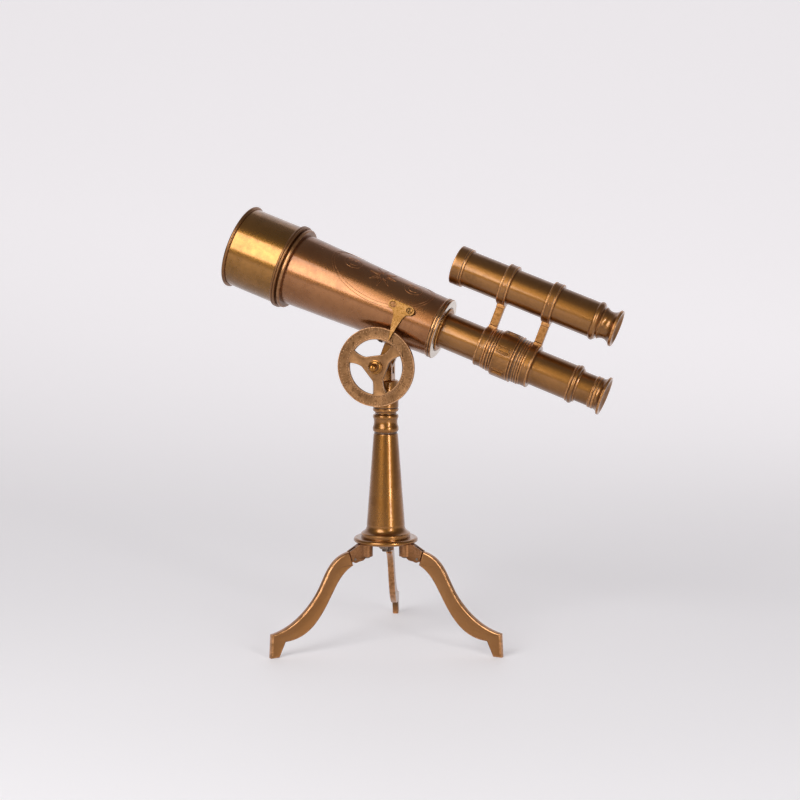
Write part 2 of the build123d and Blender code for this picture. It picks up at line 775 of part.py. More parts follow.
for builder in (
    swivel_head, swivel_set_screw, fork, tilt_axle, axle_sleeve, axle_washer, axle_nut,
    tilt_wheel, wheel_knob,
):
    save(builder.__name__, builder())

for builder in (
    barrel, objective_cell, objective_lens, lens_ring, rear_flange, draw_bush,
    tilt_bracket, bracket_screws, pointer, pointer_screws, pointer_spacers,
    hood_tube, hood_front_rim, hood_back_ring,
    draw_tube, draw_stop_ring, field_stop, clamp_sleeve, ring_screws, rear_collar,
    finder_tube, finder_cap, finder_lens, finder_collar,
    eyepiece_tube, eyecup, eye_lens,
    finder_eyepiece_tube, finder_eyecup, finder_eye_lens,
):
    save(builder.__name__, moved(builder()))

for place, (start, end), clamp_r in zip(("front", "rear"), (FRONT_CLAMP, REAR_CLAMP), CLAMP_R):
    post_low = TUBE_RISE + clamp_r + 1.6
    post_high = FINDER_RISE - FINDER_RING_R - 1.9
    save(f"clamp_ring_{place}", tilted(clamp_ring(start, end, clamp_r)))
    save(f"finder_ring_{place}", tilted(finder_ring(start, end)))
    save(f"post_{place}", tilted(post(start, end, post_low, post_high)))
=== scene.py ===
import json
import math

import bmesh
import bpy
from mathutils import Matrix, Vector


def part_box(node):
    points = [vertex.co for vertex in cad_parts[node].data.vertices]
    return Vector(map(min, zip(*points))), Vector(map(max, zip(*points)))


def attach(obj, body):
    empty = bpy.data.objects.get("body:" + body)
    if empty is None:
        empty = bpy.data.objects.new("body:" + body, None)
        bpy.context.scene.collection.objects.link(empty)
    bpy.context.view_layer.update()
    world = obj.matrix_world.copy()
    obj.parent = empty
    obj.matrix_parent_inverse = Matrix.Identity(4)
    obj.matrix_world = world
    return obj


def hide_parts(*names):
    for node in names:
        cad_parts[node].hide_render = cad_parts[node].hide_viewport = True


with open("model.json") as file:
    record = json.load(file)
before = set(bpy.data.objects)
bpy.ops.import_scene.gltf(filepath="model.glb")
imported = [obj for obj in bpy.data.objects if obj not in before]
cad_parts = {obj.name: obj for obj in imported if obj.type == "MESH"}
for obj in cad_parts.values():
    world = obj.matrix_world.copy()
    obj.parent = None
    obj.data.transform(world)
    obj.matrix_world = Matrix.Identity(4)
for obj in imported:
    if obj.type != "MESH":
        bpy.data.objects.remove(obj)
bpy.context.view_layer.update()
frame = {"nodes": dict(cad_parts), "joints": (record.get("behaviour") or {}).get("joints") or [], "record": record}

# A brass table telescope on its folding tripod: the finished look of every piece.
# Outlines are in millimetres, as (station, radius) about a piece's own axis; places are in metres.

MM = 0.001
RECORD = frame["record"]
BODY_OF = {node: body for body, nodes in RECORD["behaviour"]["bodies"].items() for node in nodes}
JOINTS = {joint["name"]: joint for joint in frame["joints"]}
EASE = 0.14             # the usual rounding of a turned corner
ROUND = 144             # facets round a large turned piece

# ---- places ----
AXLE = Vector(JOINTS["altitude_tilt"]["pos_m"])
SKYWARD = Vector(JOINTS["hood_slide"]["axis"])
SLOPE = math.atan2(SKYWARD.z, -SKYWARD.x)
LEVEL = Matrix.Translation(AXLE) @ Matrix.Rotation(SLOPE, 4, "Y")
UPRIGHT = Matrix.Rotation(-math.pi / 2, 4, "Y")
NEAR = Matrix.Translation(AXLE) @ Matrix.Rotation(-math.pi / 2, 4, "Z")


def corners(node, place):
    """The lowest and highest corner of a CAD node in a place's own axes, in millimetres."""
    inverse = place.inverted()
    seen = [(inverse @ vertex.co) / MM for vertex in frame["nodes"][node].data.vertices]
    return [Vector([pick(point[axis] for point in seen) for axis in range(3)]) for pick in (min, max)]


def span(node, place):
    """A turned node's first and last station and its largest radius."""
    low, high = corners(node, place)
    return low.x, high.x, high.y


def raised(node):
    """The tilted place whose axis is that of a round node."""
    low, high = corners(node, LEVEL)
    return LEVEL @ Matrix.Translation((0, 0, (low.z + high.z) / 2 * MM))


MAIN = raised("hood_tube")
FINDER = raised("finder_tube")


def placed(name, data):
    """A new object in the scene."""
    made = bpy.data.objects.new(name, data)
    bpy.context.scene.collection.objects.link(made)
    return made


# ---- node wiring ----
class Wire:
    """An output socket that can be added to, multiplied and so on, by adding Math nodes."""

    def __init__(self, tree, socket=None):
        self.tree = tree
        self.socket = socket

    def node(self, kind, settings=(), sockets=(), output=0):
        """Any node, from its type, its settings and the values or links of its sockets."""
        made = self.tree.nodes.new(kind)
        for key, value in dict(settings).items():
            setattr(made, key, value)
        for key, value in dict(sockets).items():
            self.feed(made.inputs[key], value)
        return Wire(self.tree, made.outputs[output])

    def feed(self, socket, value):
        if isinstance(value, Wire):
            self.tree.links.new(value.socket, socket)
        else:
            socket.default_value = value

    def maths(self, operation, *values):
        return self.node("ShaderNodeMath", {"operation": operation}, dict(enumerate(values)))

    def __add__(self, other):
        return self.maths("ADD", self, other)

    def __sub__(self, other):
        return self.maths("SUBTRACT", self, other)

    def __rsub__(self, other):
        return self.maths("SUBTRACT", other, self)

    def __mul__(self, other):
        return self.maths("MULTIPLY", self, other)

    def __truediv__(self, other):
        return self.maths("DIVIDE", self, other)

    def __neg__(self):
        return self * -1.0

    __radd__ = __add__
    __rmul__ = __mul__

    def between(self, low, high):
        """0 at low and 1 at high, with a smooth step between them."""
        return self.node(
            "ShaderNodeMapRange", {"interpolation_type": "SMOOTHSTEP"},
            {"Value": self, "From Min": low, "From Max": high},
        )

    def clamped(self):
        return self.node("ShaderNodeClamp", (), {"Value": self})

    def mix(self, first, second):
        """Colours: the first where this is 0, the second where it is 1."""
        return self.node(
            "ShaderNodeMix", {"data_type": "RGBA"}, {0: self, 6: first, 7: second}, output=2
        )

    def noise(self, scale, detail=3.0, roughness=0.55, distortion=0.0):
        """Noise read at this vector."""
        return self.node("ShaderNodeTexNoise", (), {
            "Vector": self, "Scale": scale, "Detail": detail, "Roughness": roughness,
            "Distortion": distortion,
        })

    def stretched(self, x, y, z):
        return self.node(
            "ShaderNodeVectorMath", {"operation": "MULTIPLY"}, {0: self, 1: (x, y, z)}
        )


# ---- finishes ----
def rgba(red, green, blue):
    return (red, green, blue, 1.0)


# near-black brown mixed into inner corners: grime and painted shade
GRIME_AND_SHADE = rgba(0.055, 0.026, 0.011)
POLISHED = rgba(0.78, 0.70, 0.60)      # a bare turned face
CLOUD_SHARE = 0.72      # how much of the tarnish is in broad clouds
FINER = 9               # how much finer the mottling is than the clouds
DENT = 0.05             # depth of the surface's unevenness, in millimetres
SPECKS, DRAWN_LINES, TOOL_MARKS = 1500.0, 420.0, 2600.0     # noise scales, per metre
SAND_GRAIN, CAST_LUMPS = 1150.0, 260.0


def started(name):
    """A new material, the wires to draw it with, and its surface shader."""
    material = bpy.data.materials.new(name)
    material.use_nodes = True
    return material, Wire(material.node_tree), material.node_tree.nodes["Principled BSDF"]


def brass(
    name, bright, dull, rough, place=None, patch=38.0, spread=(0.38, 0.68), streak=0.0,
    rings=0.0, cast=0.0, lacquer=0.0, corner_grime_and_shade=0.85, rub_and_highlight=0.55, polished_from=None,
):
    """Aged brass: tarnish patches over a bright metal, grime and painted shade in inner corners, and rubbed edges
    with a painted highlight.
    """
    material, wire, shader = started(name)
    here = wire.node("ShaderNodeTexCoord", output="Object")
    if place is not None:
        here = wire.node("ShaderNodeMapping", {"vector_type": "TEXTURE"}, {
            "Vector": here, "Location": place.to_translation(), "Rotation": place.to_euler(),
        })
    cloud = here.noise(patch, 6.0, 0.62, 0.7)
    mottle = here.noise(patch * FINER, 4.0, 0.6, 0.3)
    speck = here.noise(SPECKS, 2.0)
    tarnish = (cloud * CLOUD_SHARE + mottle * (1 - CLOUD_SHARE)).between(*spread)
    colour = tarnish.mix(bright, dull)
    wear = wire.node("ShaderNodeAttribute", {"attribute_name": "wear"}, output="Fac")
    # grime and painted shade: points in inner corners (negative curvature) are darkened towards the near-black
    # brown
    grime_and_shade = (wear.maths("MAXIMUM", -wear, 0.0) * (0.55 + mottle * 0.9) * corner_grime_and_shade).clamped()
    # rubbed edges with a painted highlight: points on outer edges (positive curvature) are brightened towards a
    # pale brass
    rub_and_highlight_mask = (wear.maths("MAXIMUM", wear, 0.0) * mottle.between(0.30, 0.62) * rub_and_highlight).clamped()
    rubbed_highlit = rgba(*(min(1.0, channel * 1.9 + 0.05) for channel in bright[:3]))
    colour = grime_and_shade.mix(rub_and_highlight_mask.mix(colour, rubbed_highlit), GRIME_AND_SHADE)
    pits = speck.between(0.63, 0.74) * 0.35
    colour = pits.mix(colour, dull)
    if polished_from is not None:
        station = wire.node("ShaderNodeSeparateXYZ", (), {0: here}, output="X")
        colour = station.between((polished_from - 0.1) * MM, polished_from * MM).mix(colour, POLISHED)
    gloss = rough + tarnish * 0.10 + grime_and_shade * 0.25 - rub_and_highlight_mask * 0.06 + (mottle - 0.5) * 0.08
    height = cloud * 0.22 + mottle * 0.06
    if streak:
        drawn = here.stretched(0.03, 1.0, 1.0).noise(DRAWN_LINES, 4.0, 0.6)
        gloss = gloss + (drawn - 0.5) * streak
        height = height + drawn * streak * 0.5
    if rings:
        cut = here.stretched(1.0, 0.01, 0.01).noise(TOOL_MARKS, 3.0, 0.6)
        gloss = gloss + (cut - 0.5) * rings
        height = height + cut * rings * 0.6
    if cast:
        grain = here.noise(SAND_GRAIN, 3.0, 0.65)
        lumps = here.noise(CAST_LUMPS, 3.0, 0.6)
        height = height + grain * cast * 2.0 + lumps * cast * 4.0
        gloss = gloss + (grain - 0.5) * cast * 0.2
    wire.feed(shader.inputs["Base Color"], colour)
    wire.feed(shader.inputs["Roughness"], gloss.clamped())
    wire.feed(shader.inputs["Metallic"], 1.0 - grime_and_shade * 0.35)
    wire.feed(shader.inputs["Normal"], wire.node(
        "ShaderNodeBump", (), {"Strength": 0.5, "Distance": DENT * MM, "Height": height},
        output="Normal",
    ))
    shader.inputs["Coat Roughness"].default_value = 0.15
    shader.inputs["Coat IOR"].default_value = 1.45
    wire.feed(shader.inputs["Coat Weight"], lacquer * (1.0 - tarnish * 0.25) if lacquer else 0.0)
    return material


def lens_glass():
    """Clear glass with a faint bloom and a thin haze of dust."""
    material, wire, shader = started("lens_glass")
    here = wire.node("ShaderNodeTexCoord", output="Object")
    haze = here.noise(90.0, 4.0).between(0.45, 0.8)
    wire.feed(shader.inputs["Roughness"], 0.01 + haze * 0.05)
    wire.feed(shader.inputs["Base Color"], haze.mix(rgba(0.90, 0.96, 0.98), rgba(0.82, 0.88, 0.86)))
    shader.inputs["IOR"].default_value = 1.52
    shader.inputs["Transmission Weight"].default_value = 1.0
    return material


def blackened():
    """Matt black, thinly brushed over the metal."""
    material, wire, shader = started("blackened")
    here = wire.node("ShaderNodeTexCoord", output="Object")
    brushed = here.noise(700.0, 4.0)
    colour = brushed.mix(rgba(0.010, 0.010, 0.010), rgba(0.035, 0.032, 0.028))
    wire.feed(shader.inputs["Base Color"], colour)
    wire.feed(shader.inputs["Roughness"], 0.62 + brushed * 0.25)
    return material


HOOD_BRASS = brass(
    "polished_hood", rgba(0.32, 0.136, 0.018), rgba(0.20, 0.086, 0.010), 0.21, LEVEL,
    patch=26.0, spread=(0.38, 0.66), streak=0.06, lacquer=1.0,
)
RIM_BRASS = brass(
    "hood_beads", rgba(0.25, 0.108, 0.032), rgba(0.15, 0.060, 0.016), 0.30, LEVEL, rings=0.12,
    lacquer=0.5,
)
BARREL_BRASS = brass(
    "copper_brown_barrel", rgba(0.29, 0.113, 0.030), rgba(0.20, 0.070, 0.017), 0.24, LEVEL,
    patch=24.0, spread=(0.36, 0.70), streak=0.06, lacquer=1.0,
)
TUBE_BRONZE = brass(
    "antique_tubes", rgba(0.265, 0.108, 0.017), rgba(0.185, 0.073, 0.010), 0.30, LEVEL,
    patch=60.0, streak=0.06, rings=0.03, lacquer=1.0,
)
RING_BRONZE = brass(
    "antique_rings", rgba(0.29, 0.120, 0.022), rgba(0.17, 0.066, 0.011), 0.32, LEVEL,
    patch=110.0, rings=0.08, cast=0.08, rub_and_highlight=0.9, corner_grime_and_shade=0.55, lacquer=0.9,
)
FLANGE_BRASS = brass(
    "flange_brass", rgba(0.29, 0.130, 0.038), rgba(0.18, 0.074, 0.020), 0.22, LEVEL, rings=0.12,
    lacquer=0.5, polished_from=28.0,
)
COLUMN_BRASS = brass(
    "golden_column", rgba(0.32, 0.130, 0.020), rgba(0.225, 0.086, 0.011), 0.26, UPRIGHT,
    patch=45.0, rings=0.04, lacquer=1.0,
)
LEG_BRASS = brass(
    "golden_legs", rgba(0.295, 0.129, 0.037), rgba(0.270, 0.115, 0.032), 0.31, None,
    patch=40.0, cast=0.02, rub_and_highlight=1.0, lacquer=0.6,
)
LUG_BRASS = brass(
    "cast_lugs", rgba(0.23, 0.092, 0.024), rgba(0.09, 0.034, 0.010), 0.34, None,
    patch=120.0, cast=0.55, lacquer=0.5,
)
WHEEL_BRONZE = brass(
    "cast_wheel", rgba(0.280, 0.143, 0.062), rgba(0.175, 0.085, 0.034), 0.42, None,
    patch=120.0, cast=0.6, corner_grime_and_shade=0.9, rub_and_highlight=0.9,
)
BRIGHT_BRASS = brass(
    "bright_brass", rgba(0.33, 0.145, 0.034), rgba(0.24, 0.090, 0.019), 0.26, None,
    patch=150.0, spread=(0.45, 0.75),
)
POINTER_BRASS = brass(
    "pointer_brass", rgba(0.190, 0.085, 0.014), rgba(0.140, 0.057, 0.009), 0.28, None,
    patch=110.0, corner_grime_and_shade=1.0, rub_and_highlight=0.9,
)
DARK_SCREWS = brass(
    "dark_screws", rgba(0.26, 0.11, 0.036), rgba(0.15, 0.060, 0.020), 0.34, None, patch=220.0,
)
STEEL = brass(
    "browned_steel", rgba(0.16, 0.115, 0.085), rgba(0.085, 0.058, 0.042), 0.38, None, patch=160.0,
)
ENGRAVED = brass(
    "engraved_lines", rgba(0.40, 0.180, 0.075), rgba(0.26, 0.10, 0.040), 0.32, None, patch=60.0,
)
GLASS = lens_glass()
BLACK = blackened()


# ---- outlines ----
def arc(start, through, end, steps=10):
    """Points on the circle through three points, all but the first."""
    (ax, ay), (bx, by), (cx, cy) = start, through, end
    twice = 2 * (ax * (by - cy) + bx * (cy - ay) + cx * (ay - by))
    a, b, c = ax * ax + ay * ay, bx * bx + by * by, cx * cx + cy * cy
    ox = (a * (by - cy) + b * (cy - ay) + c * (ay - by)) / twice
    oy = (a * (cx - bx) + b * (ax - cx) + c * (bx - ax)) / twice
    radius = math.hypot(ax - ox, ay - oy)
    first = math.atan2(ay - oy, ax - ox)
    middle = (math.atan2(by - oy, bx - ox) - first) % math.tau
    sweep = (math.atan2(cy - oy, cx - ox) - first) % math.tau
    if middle > sweep:
        sweep -= math.tau
    turns = [first + sweep * step / steps for step in range(1, steps + 1)]
    points = [(ox + radius * math.cos(turn), oy + radius * math.sin(turn), 0.0) for turn in turns]
    points[-1] = end
    return points


def eased(outline, ease, closed):
    """Round an outline's corners: points with a curvature of 1 on an outer corner, painted as rub and highlight,
    and -1 in an inner one, painted as grime and shade.
    """
    flat = [Vector(point[:2]) for point in outline]
    count = len(flat)
    area = sum(flat[i - 1].x * flat[i].y - flat[i].x * flat[i - 1].y for i in range(count))
    side = 1.0 if area > 0 else -1.0
    result = []
    for i, point in enumerate(outline):
        here = flat[i]
        if not closed and i in (0, count - 1):
            result.append((here.x, here.y, 0.0))
            continue
        back = flat[i - 1] - here
        ahead = flat[(i + 1) % count] - here
        turn = -side * back.angle_signed(-ahead, 0.0)
        soft = point[2] if len(point) > 2 else ease
        reach = min(soft, 0.42 * min(back.length, ahead.length))
        wear = max(-1.0, min(1.0, turn * 1.2))
        if reach < 0.01 or abs(turn) < 0.1:
            result.append((here.x, here.y, wear * 0.6))
            continue
        into = here + back.normalized() * reach
        out = here + ahead.normalized() * reach
        fade = reach + 0.45
        if back.length > 2.4 * fade:
            edge = here + back.normalized() * fade
            result.append((edge.x, edge.y, 0.0))
        for step in range(5):
            t = step / 4
            spot = into * (1 - t) ** 2 + here * (2 * t * (1 - t)) + out * t ** 2
            result.append((spot.x, spot.y, wear))
        if ahead.length > 2.4 * fade:
            edge = here + ahead.normalized() * fade
            result.append((edge.x, edge.y, 0.0))
    return result


# ---- geometry node trees ----
def new_tree(name, inputs):
    """An empty tree with a geometry in and out and named inputs, and the wires of its inputs."""
    tree = bpy.data.node_groups.new(name, "GeometryNodeTree")
    face = tree.interface
    face.new_socket("Geometry", in_out="INPUT", socket_type="NodeSocketGeometry")
    face.new_socket("Geometry", in_out="OUTPUT", socket_type="NodeSocketGeometry")
    for label, kind in inputs.items():
        face.new_socket(label, in_out="INPUT", socket_type="NodeSocket" + kind)
    source = tree.nodes.new("NodeGroupInput")
    return tree, {socket.name: Wire(tree, socket) for socket in source.outputs if socket.name}


def close_tree(tree, geometry, material):
    """Every tree ends by making its instances real and giving them their material."""
    real = geometry.node("GeometryNodeRealizeInstances", (), {0: geometry})
    painted = real.node("GeometryNodeSetMaterial", (), {"Geometry": real, "Material": material})
    tree.links.new(painted.socket, tree.nodes.new("NodeGroupOutput").inputs[0])
    return tree


def grown(tree, mesh, **values):
    """The plain mesh that a tree makes from a mesh, with its inputs set by identifier."""
    holder = placed("holder", mesh)
    modifier = holder.modifiers.new("nodes", "NODES")
    modifier.node_group = tree
    labels = {label.replace("_", " "): value for label, value in values.items()}
    for item in tree.interface.items_tree:
        if item.in_out == "INPUT" and item.name in labels:
            modifier[item.identifier] = labels[item.name]
    return baked(holder)


def baked(holder):
    """An object's evaluated mesh; the object itself is removed."""
    bpy.context.view_layer.update()
    graph = bpy.context.evaluated_depsgraph_get()
    result = bpy.data.meshes.new_from_object(holder.evaluated_get(graph))
    bpy.data.objects.remove(holder)
    return result


def lathe_tree():
    """Turns an outline, drawn as an edge loop in the XY plane, about Z."""
    tree, given = new_tree("lathe", {"Arbor": "Float", "Facets": "Int", "Finish": "Material"})
    wire = Wire(tree)
    profile = wire.node("GeometryNodeMeshToCurve", (), {"Mesh": given["Geometry"]})
    path = wire.node("GeometryNodeCurvePrimitiveCircle", (), {
        "Resolution": given["Facets"], "Radius": given["Arbor"],
    })
    skin = wire.node("GeometryNodeCurveToMesh", (), {"Curve": path, "Profile Curve": profile})
    closed = wire.node("GeometryNodeMergeByDistance", (), {"Geometry": skin, "Distance": 2e-6})
    smooth = wire.node("GeometryNodeSetShadeSmooth", (), {"Geometry": closed})
    return close_tree(tree, smooth, given["Finish"])


LATHE = lathe_tree()
ARBOR = 1.0 * MM


def turned(place, outline, finish, ease=EASE, facets=ROUND):
    """A mesh turned about a place's axis. An outline that starts and ends on the axis stays open."""
    closed = not (outline[0][1] == 0 and outline[-1][1] == 0)
    points = eased(outline, ease, closed)
    loop = bpy.data.meshes.new("outline")
    count = len(points)
    edges = [(i, (i + 1) % count) for i in range(count if closed else count - 1)]
    loop.from_pydata([(r * MM - ARBOR, -x * MM, 0) for x, r, _ in points], edges, [])
    loop.attributes.new("wear", "FLOAT", "POINT").data.foreach_set("value", [w for _, _, w in points])
    mesh = grown(LATHE, loop, Arbor=ARBOR, Facets=facets, Finish=finish)
    mesh.transform(place @ Matrix.Rotation(math.pi / 2, 4, "Y"))
    outwards(mesh)
    return mesh


# ---- mesh helpers ----
def outwards(mesh):
    """Turn every face outwards."""
    work = bmesh.new()
    work.from_mesh(mesh)
    bmesh.ops.recalc_face_normals(work, faces=work.faces)
    work.to_mesh(mesh)
    work.free()


def joined(meshes):
    """One mesh from several, keeping each one's material and curvature."""
    result = bpy.data.meshes.new("joined")
    work = bmesh.new()
    materials = []
    for mesh in meshes:
        first = len(work.faces)
        work.from_mesh(mesh)
        work.faces.ensure_lookup_table()
        kinds = [m for m in mesh.materials if m is not None] or [None]
        for kind in kinds:
            if kind not in materials:
                materials.append(kind)
        for face in work.faces[first:]:
            face.material_index = materials.index(kinds[min(face.material_index, len(kinds) - 1)])
    work.to_mesh(result)
    work.free()
    for material in materials:
        result.materials.append(material)
    return result


def crisp(mesh, angle=35.0):
    """Smooth shading with sharp edges kept, and flat faces left flat."""
    holder = placed("holder", mesh)
    mesh.polygons.foreach_set("use_smooth", [True] * len(mesh.polygons))
    mesh.set_sharp_from_angle(angle=math.radians(angle))
    weighted = holder.modifiers.new("weighted", "WEIGHTED_NORMAL")
    weighted.keep_sharp = True
    return baked(holder)


def bevelled(mesh, width, segments=3, angle=28.0):
    """Round a mesh's edges and mark each point's curvature, so that the rounded faces take the rub and painted
    highlight.
    """
    holder = placed("holder", mesh)
    bevel = holder.modifiers.new("bevel", "BEVEL")
    bevel.width = width * MM
    bevel.segments = segments
    bevel.limit_method = "ANGLE"
    bevel.angle_limit = math.radians(angle)
    bevel.use_clamp_overlap = True
    return mark_wear(crisp(baked(holder)))


def mark_wear(mesh):
    """Give each point a curvature from how its faces fold: up to 1 outside an edge, where brass paints rub and
    highlight, -1 in a corner, where it paints grime and shade.
    """
    work = bmesh.new()
    work.from_mesh(mesh)
    layer = work.verts.layers.float.get("wear") or work.verts.layers.float.new("wear")
    for vertex in work.verts:
        folds = [edge.calc_face_angle_signed(0.0) for edge in vertex.link_edges if edge.is_manifold]
        total = max(folds, default=0.0) + min(folds, default=0.0)
        vertex[layer] = max(-1.0, min(1.0, total * 2.2))
    work.to_mesh(mesh)
    work.free()
    return mesh


def cad_copy(node):
    """A CAD node's shape as one welded mesh, with its flat faces whole."""
    work = bmesh.new()
    work.from_mesh(frame["nodes"][node].data)
    bmesh.ops.remove_doubles(work, verts=work.verts, dist=2e-6)
    bmesh.ops.dissolve_limit(
        work, angle_limit=math.radians(0.8), verts=work.verts, edges=work.edges
    )
    mesh = bpy.data.meshes.new(node + "_copy")
    work.to_mesh(mesh)
    work.free()
    return mesh


def painted(mesh, finish):
    mesh.materials.clear()
    mesh.materials.append(finish)
    return mesh


def piece(name, mesh, *nodes, rides=None):
    """Put a finished mesh in the scene, in place of its CAD nodes."""
    shape = placed(name, mesh)
    host = rides or nodes[0]
    if nodes:
        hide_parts(*nodes)
    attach(shape, BODY_OF[host])
    return shape


def turned_piece(name, node, place, outline, finish, **options):
    return piece(name, turned(place, outline, finish, **options), node)


def softened_piece(name, node, finish, width, segments=3):
    """A CAD node's shape with its edges rounded."""
    return piece(name, painted(bevelled(cad_copy(node), width, segments), finish), node)


def block(place, low, high, finish, width=0.3):
    """A block with rounded edges between two corners, in millimetres."""
    work = bmesh.new()
    bmesh.ops.create_cube(work, size=1.0)
    for vertex in work.verts:
        for axis in range(3):
            vertex.co[axis] = (low[axis] if vertex.co[axis] < 0 else high[axis]) * MM
    mesh = bpy.data.meshes.new("block")
    work.to_mesh(mesh)
    work.free()
    mesh = bevelled(mesh, width)
    mesh.transform(place)
    return painted(mesh, finish)


# ---- slotted screws ----
def screw_tree():
    """Slotted screw heads on points, each turned by the point's own facing."""
    tree, given = new_tree("slotted_screws", {
        "Head Radius": "Float", "Head Height": "Float", "Slot": "Float", "Finish": "Material",
    })
    wire = Wire(tree)
    radius, height = given["Head Radius"], given["Head Height"]
    skirt = wire.node("GeometryNodeMeshCylinder", (), {
        "Vertices": 32, "Radius": radius, "Depth": height * 1.2,
    })
    crown = wire.node("GeometryNodeMeshCone", (), {
        "Vertices": 32, "Radius Top": radius * 0.72, "Radius Bottom": radius, "Depth": height * 0.4,
    })
    lift = wire.node("ShaderNodeCombineXYZ", (), {"Z": height * 0.6})
    crown = wire.node("GeometryNodeTransform", (), {"Geometry": crown, "Translation": lift})
    size = wire.node("ShaderNodeCombineXYZ", (), {
        "X": radius * 3.0, "Y": given["Slot"], "Z": height * 0.9,
    })
    cutter = wire.node("GeometryNodeMeshCube", (), {"Size": size})
    deep = wire.node("ShaderNodeCombineXYZ", (), {"Z": height * 0.95})
    cutter = wire.node("GeometryNodeTransform", (), {"Geometry": cutter, "Translation": deep})
    whole = wire.node("GeometryNodeMeshBoolean", {"operation": "UNION"}, {"Mesh 2": crown})
    tree.links.new(skirt.socket, whole.socket.node.inputs["Mesh 2"])
    slotted = wire.node("GeometryNodeMeshBoolean", {"operation": "DIFFERENCE"}, {
        "Mesh 1": whole, "Mesh 2": cutter,
    })
    facing = wire.node("GeometryNodeInputNamedAttribute", {"data_type": "FLOAT_VECTOR"}, {
        "Name": "facing",
    })
    heads = wire.node("GeometryNodeInstanceOnPoints", (), {
        "Points": given["Geometry"], "Instance": slotted, "Rotation": facing,
    })
    return close_tree(tree, heads, given["Finish"])


SCREWS = screw_tree()


def screws(places, radius, height, slot, finish):
    """Slotted heads at places whose Z axes point out of the work."""
    points = bpy.data.meshes.new("screw_places")
    points.from_pydata([place.to_translation() for place in places], [], [])
    facing = points.attributes.new("facing", "FLOAT_VECTOR", "POINT")
    facing.data.foreach_set("vector", [turn for place in places for turn in place.to_euler()])
    mesh = grown(
        SCREWS, points, Head_Radius=radius * MM, Head_Height=height * MM, Slot=slot * MM,
        Finish=finish,
    )
    outwards(mesh)
    return mark_wear(crisp(mesh))


def nearside(x, y, z, turn):
    """A screw's place on the -Y side of the tilted tube, in millimetres, with its slot turned."""
    spin = Matrix.Rotation(math.radians(turn), 4, "Z")
    outward = Matrix.Rotation(math.pi / 2, 4, "X")
    return LEVEL @ Matrix.Translation(Vector((x, y, z)) * MM) @ outward @ spin


# ---- wrapping ornament onto a round part ----
def line_tree(name, draw, inputs):
    """Thin raised lines drawn flat, as x along and y round, then wrapped onto a cone about X."""
    tree, given = new_tree(name, {
        **inputs, "Line": "Float", "Copies": "Int", "Start Radius": "Float", "Cone": "Float",
        "Finish": "Material",
    })
    wire = Wire(tree)
    curves = draw(wire, given)
    dense = wire.node("GeometryNodeResampleCurve", (), {"Curve": curves, "Count": 180})
    section = wire.node("GeometryNodeCurvePrimitiveCircle", (), {
        "Resolution": 8, "Radius": given["Line"],
    })
    wires = wire.node("GeometryNodeCurveToMesh", (), {"Curve": dense, "Profile Curve": section})
    seat = wire.node("GeometryNodeInputPosition")
    parts = [wire.node("ShaderNodeSeparateXYZ", (), {0: seat}, output=axis) for axis in range(3)]
    radius = given["Start Radius"] + parts[0] * given["Cone"]
    turn = parts[1] / radius
    outer = radius + parts[2]
    wrapped = wire.node("ShaderNodeCombineXYZ", (), {
        "X": parts[0],
        "Y": -(outer * turn.maths("SINE", turn)),
        "Z": outer * turn.maths("COSINE", turn),
    })
    bent = wire.node("GeometryNodeSetPosition", (), {"Geometry": wires, "Position": wrapped})
    bent = wire.node("GeometryNodeSetShadeSmooth", (), {"Geometry": bent})
    spots = wire.node("GeometryNodeMeshLine", {"mode": "OFFSET"}, {
        "Count": given["Copies"], "Offset": (0.0, 0.0, 0.0),
    })
    index = wire.node("GeometryNodeInputIndex")
    spin = wire.node("ShaderNodeCombineXYZ", (), {"X": index * math.tau / given["Copies"]})
    copies = wire.node("GeometryNodeInstanceOnPoints", (), {
        "Points": spots, "Instance": bent, "Rotation": spin,
    })
    return close_tree(tree, copies, given["Finish"])


def together(parts, kind="GeometryNodeJoinGeometry", settings=(), entry=0):
    """Several geometries led into one node's socket."""
    whole = parts[0].node(kind, settings, {entry: parts[0]})
    for part in parts[1:]:
        whole.tree.links.new(part.socket, whole.socket.node.inputs[entry])
    return whole


def frame_curves(wire, given):
    """A rounded rectangle with a narrower one inside it."""
    made = []
    for grow in (1.0, 0.52):
        flat = wire.node("GeometryNodeCurvePrimitiveQuadrilateral", (), {
            "Width": given["Long"] * (0.5 + grow / 2), "Height": given["Wide"] * grow,
        })
        made.append(wire.node("GeometryNodeFilletCurve", {"mode": "POLY"}, {
            "Curve": flat, "Radius": given["Wide"] * 0.2 * grow, "Count": 5, "Limit Radius": True,
        }))
    return together(made)


def oval_curves(wire, given):
    """A long double oval round an eight-rayed star between two small ovals."""
    def flat_oval(long, wide, shift):
        ring = wire.node("GeometryNodeCurvePrimitiveCircle", (), {"Resolution": 96, "Radius": 1.0})
        return wire.node("GeometryNodeTransform", (), {
            "Geometry": ring,
            "Scale": wire.node("ShaderNodeCombineXYZ", (), {"X": long, "Y": wide, "Z": 1.0}),
            "Translation": wire.node("ShaderNodeCombineXYZ", (), {"X": shift}),
        })
    long, wide = given["Long"], given["Wide"]
    parts = [flat_oval(long, wide, 0.0), flat_oval(long * 0.955, wide * 0.91, 0.0)]
    for side in (-1.0, 1.0):
        parts.append(flat_oval(long * 0.17, wide * 0.22, long * 0.60 * side))
        parts.append(flat_oval(long * 0.09, wide * 0.12, long * 0.60 * side))
    for rays, big, small in ((8, 0.46, 0.16), (8, 0.24, 0.11)):
        parts.append(wire.node("GeometryNodeCurveStar", (), {
            "Points": rays, "Outer Radius": wide * big, "Inner Radius": wide * small,
        }))
    return together(parts)


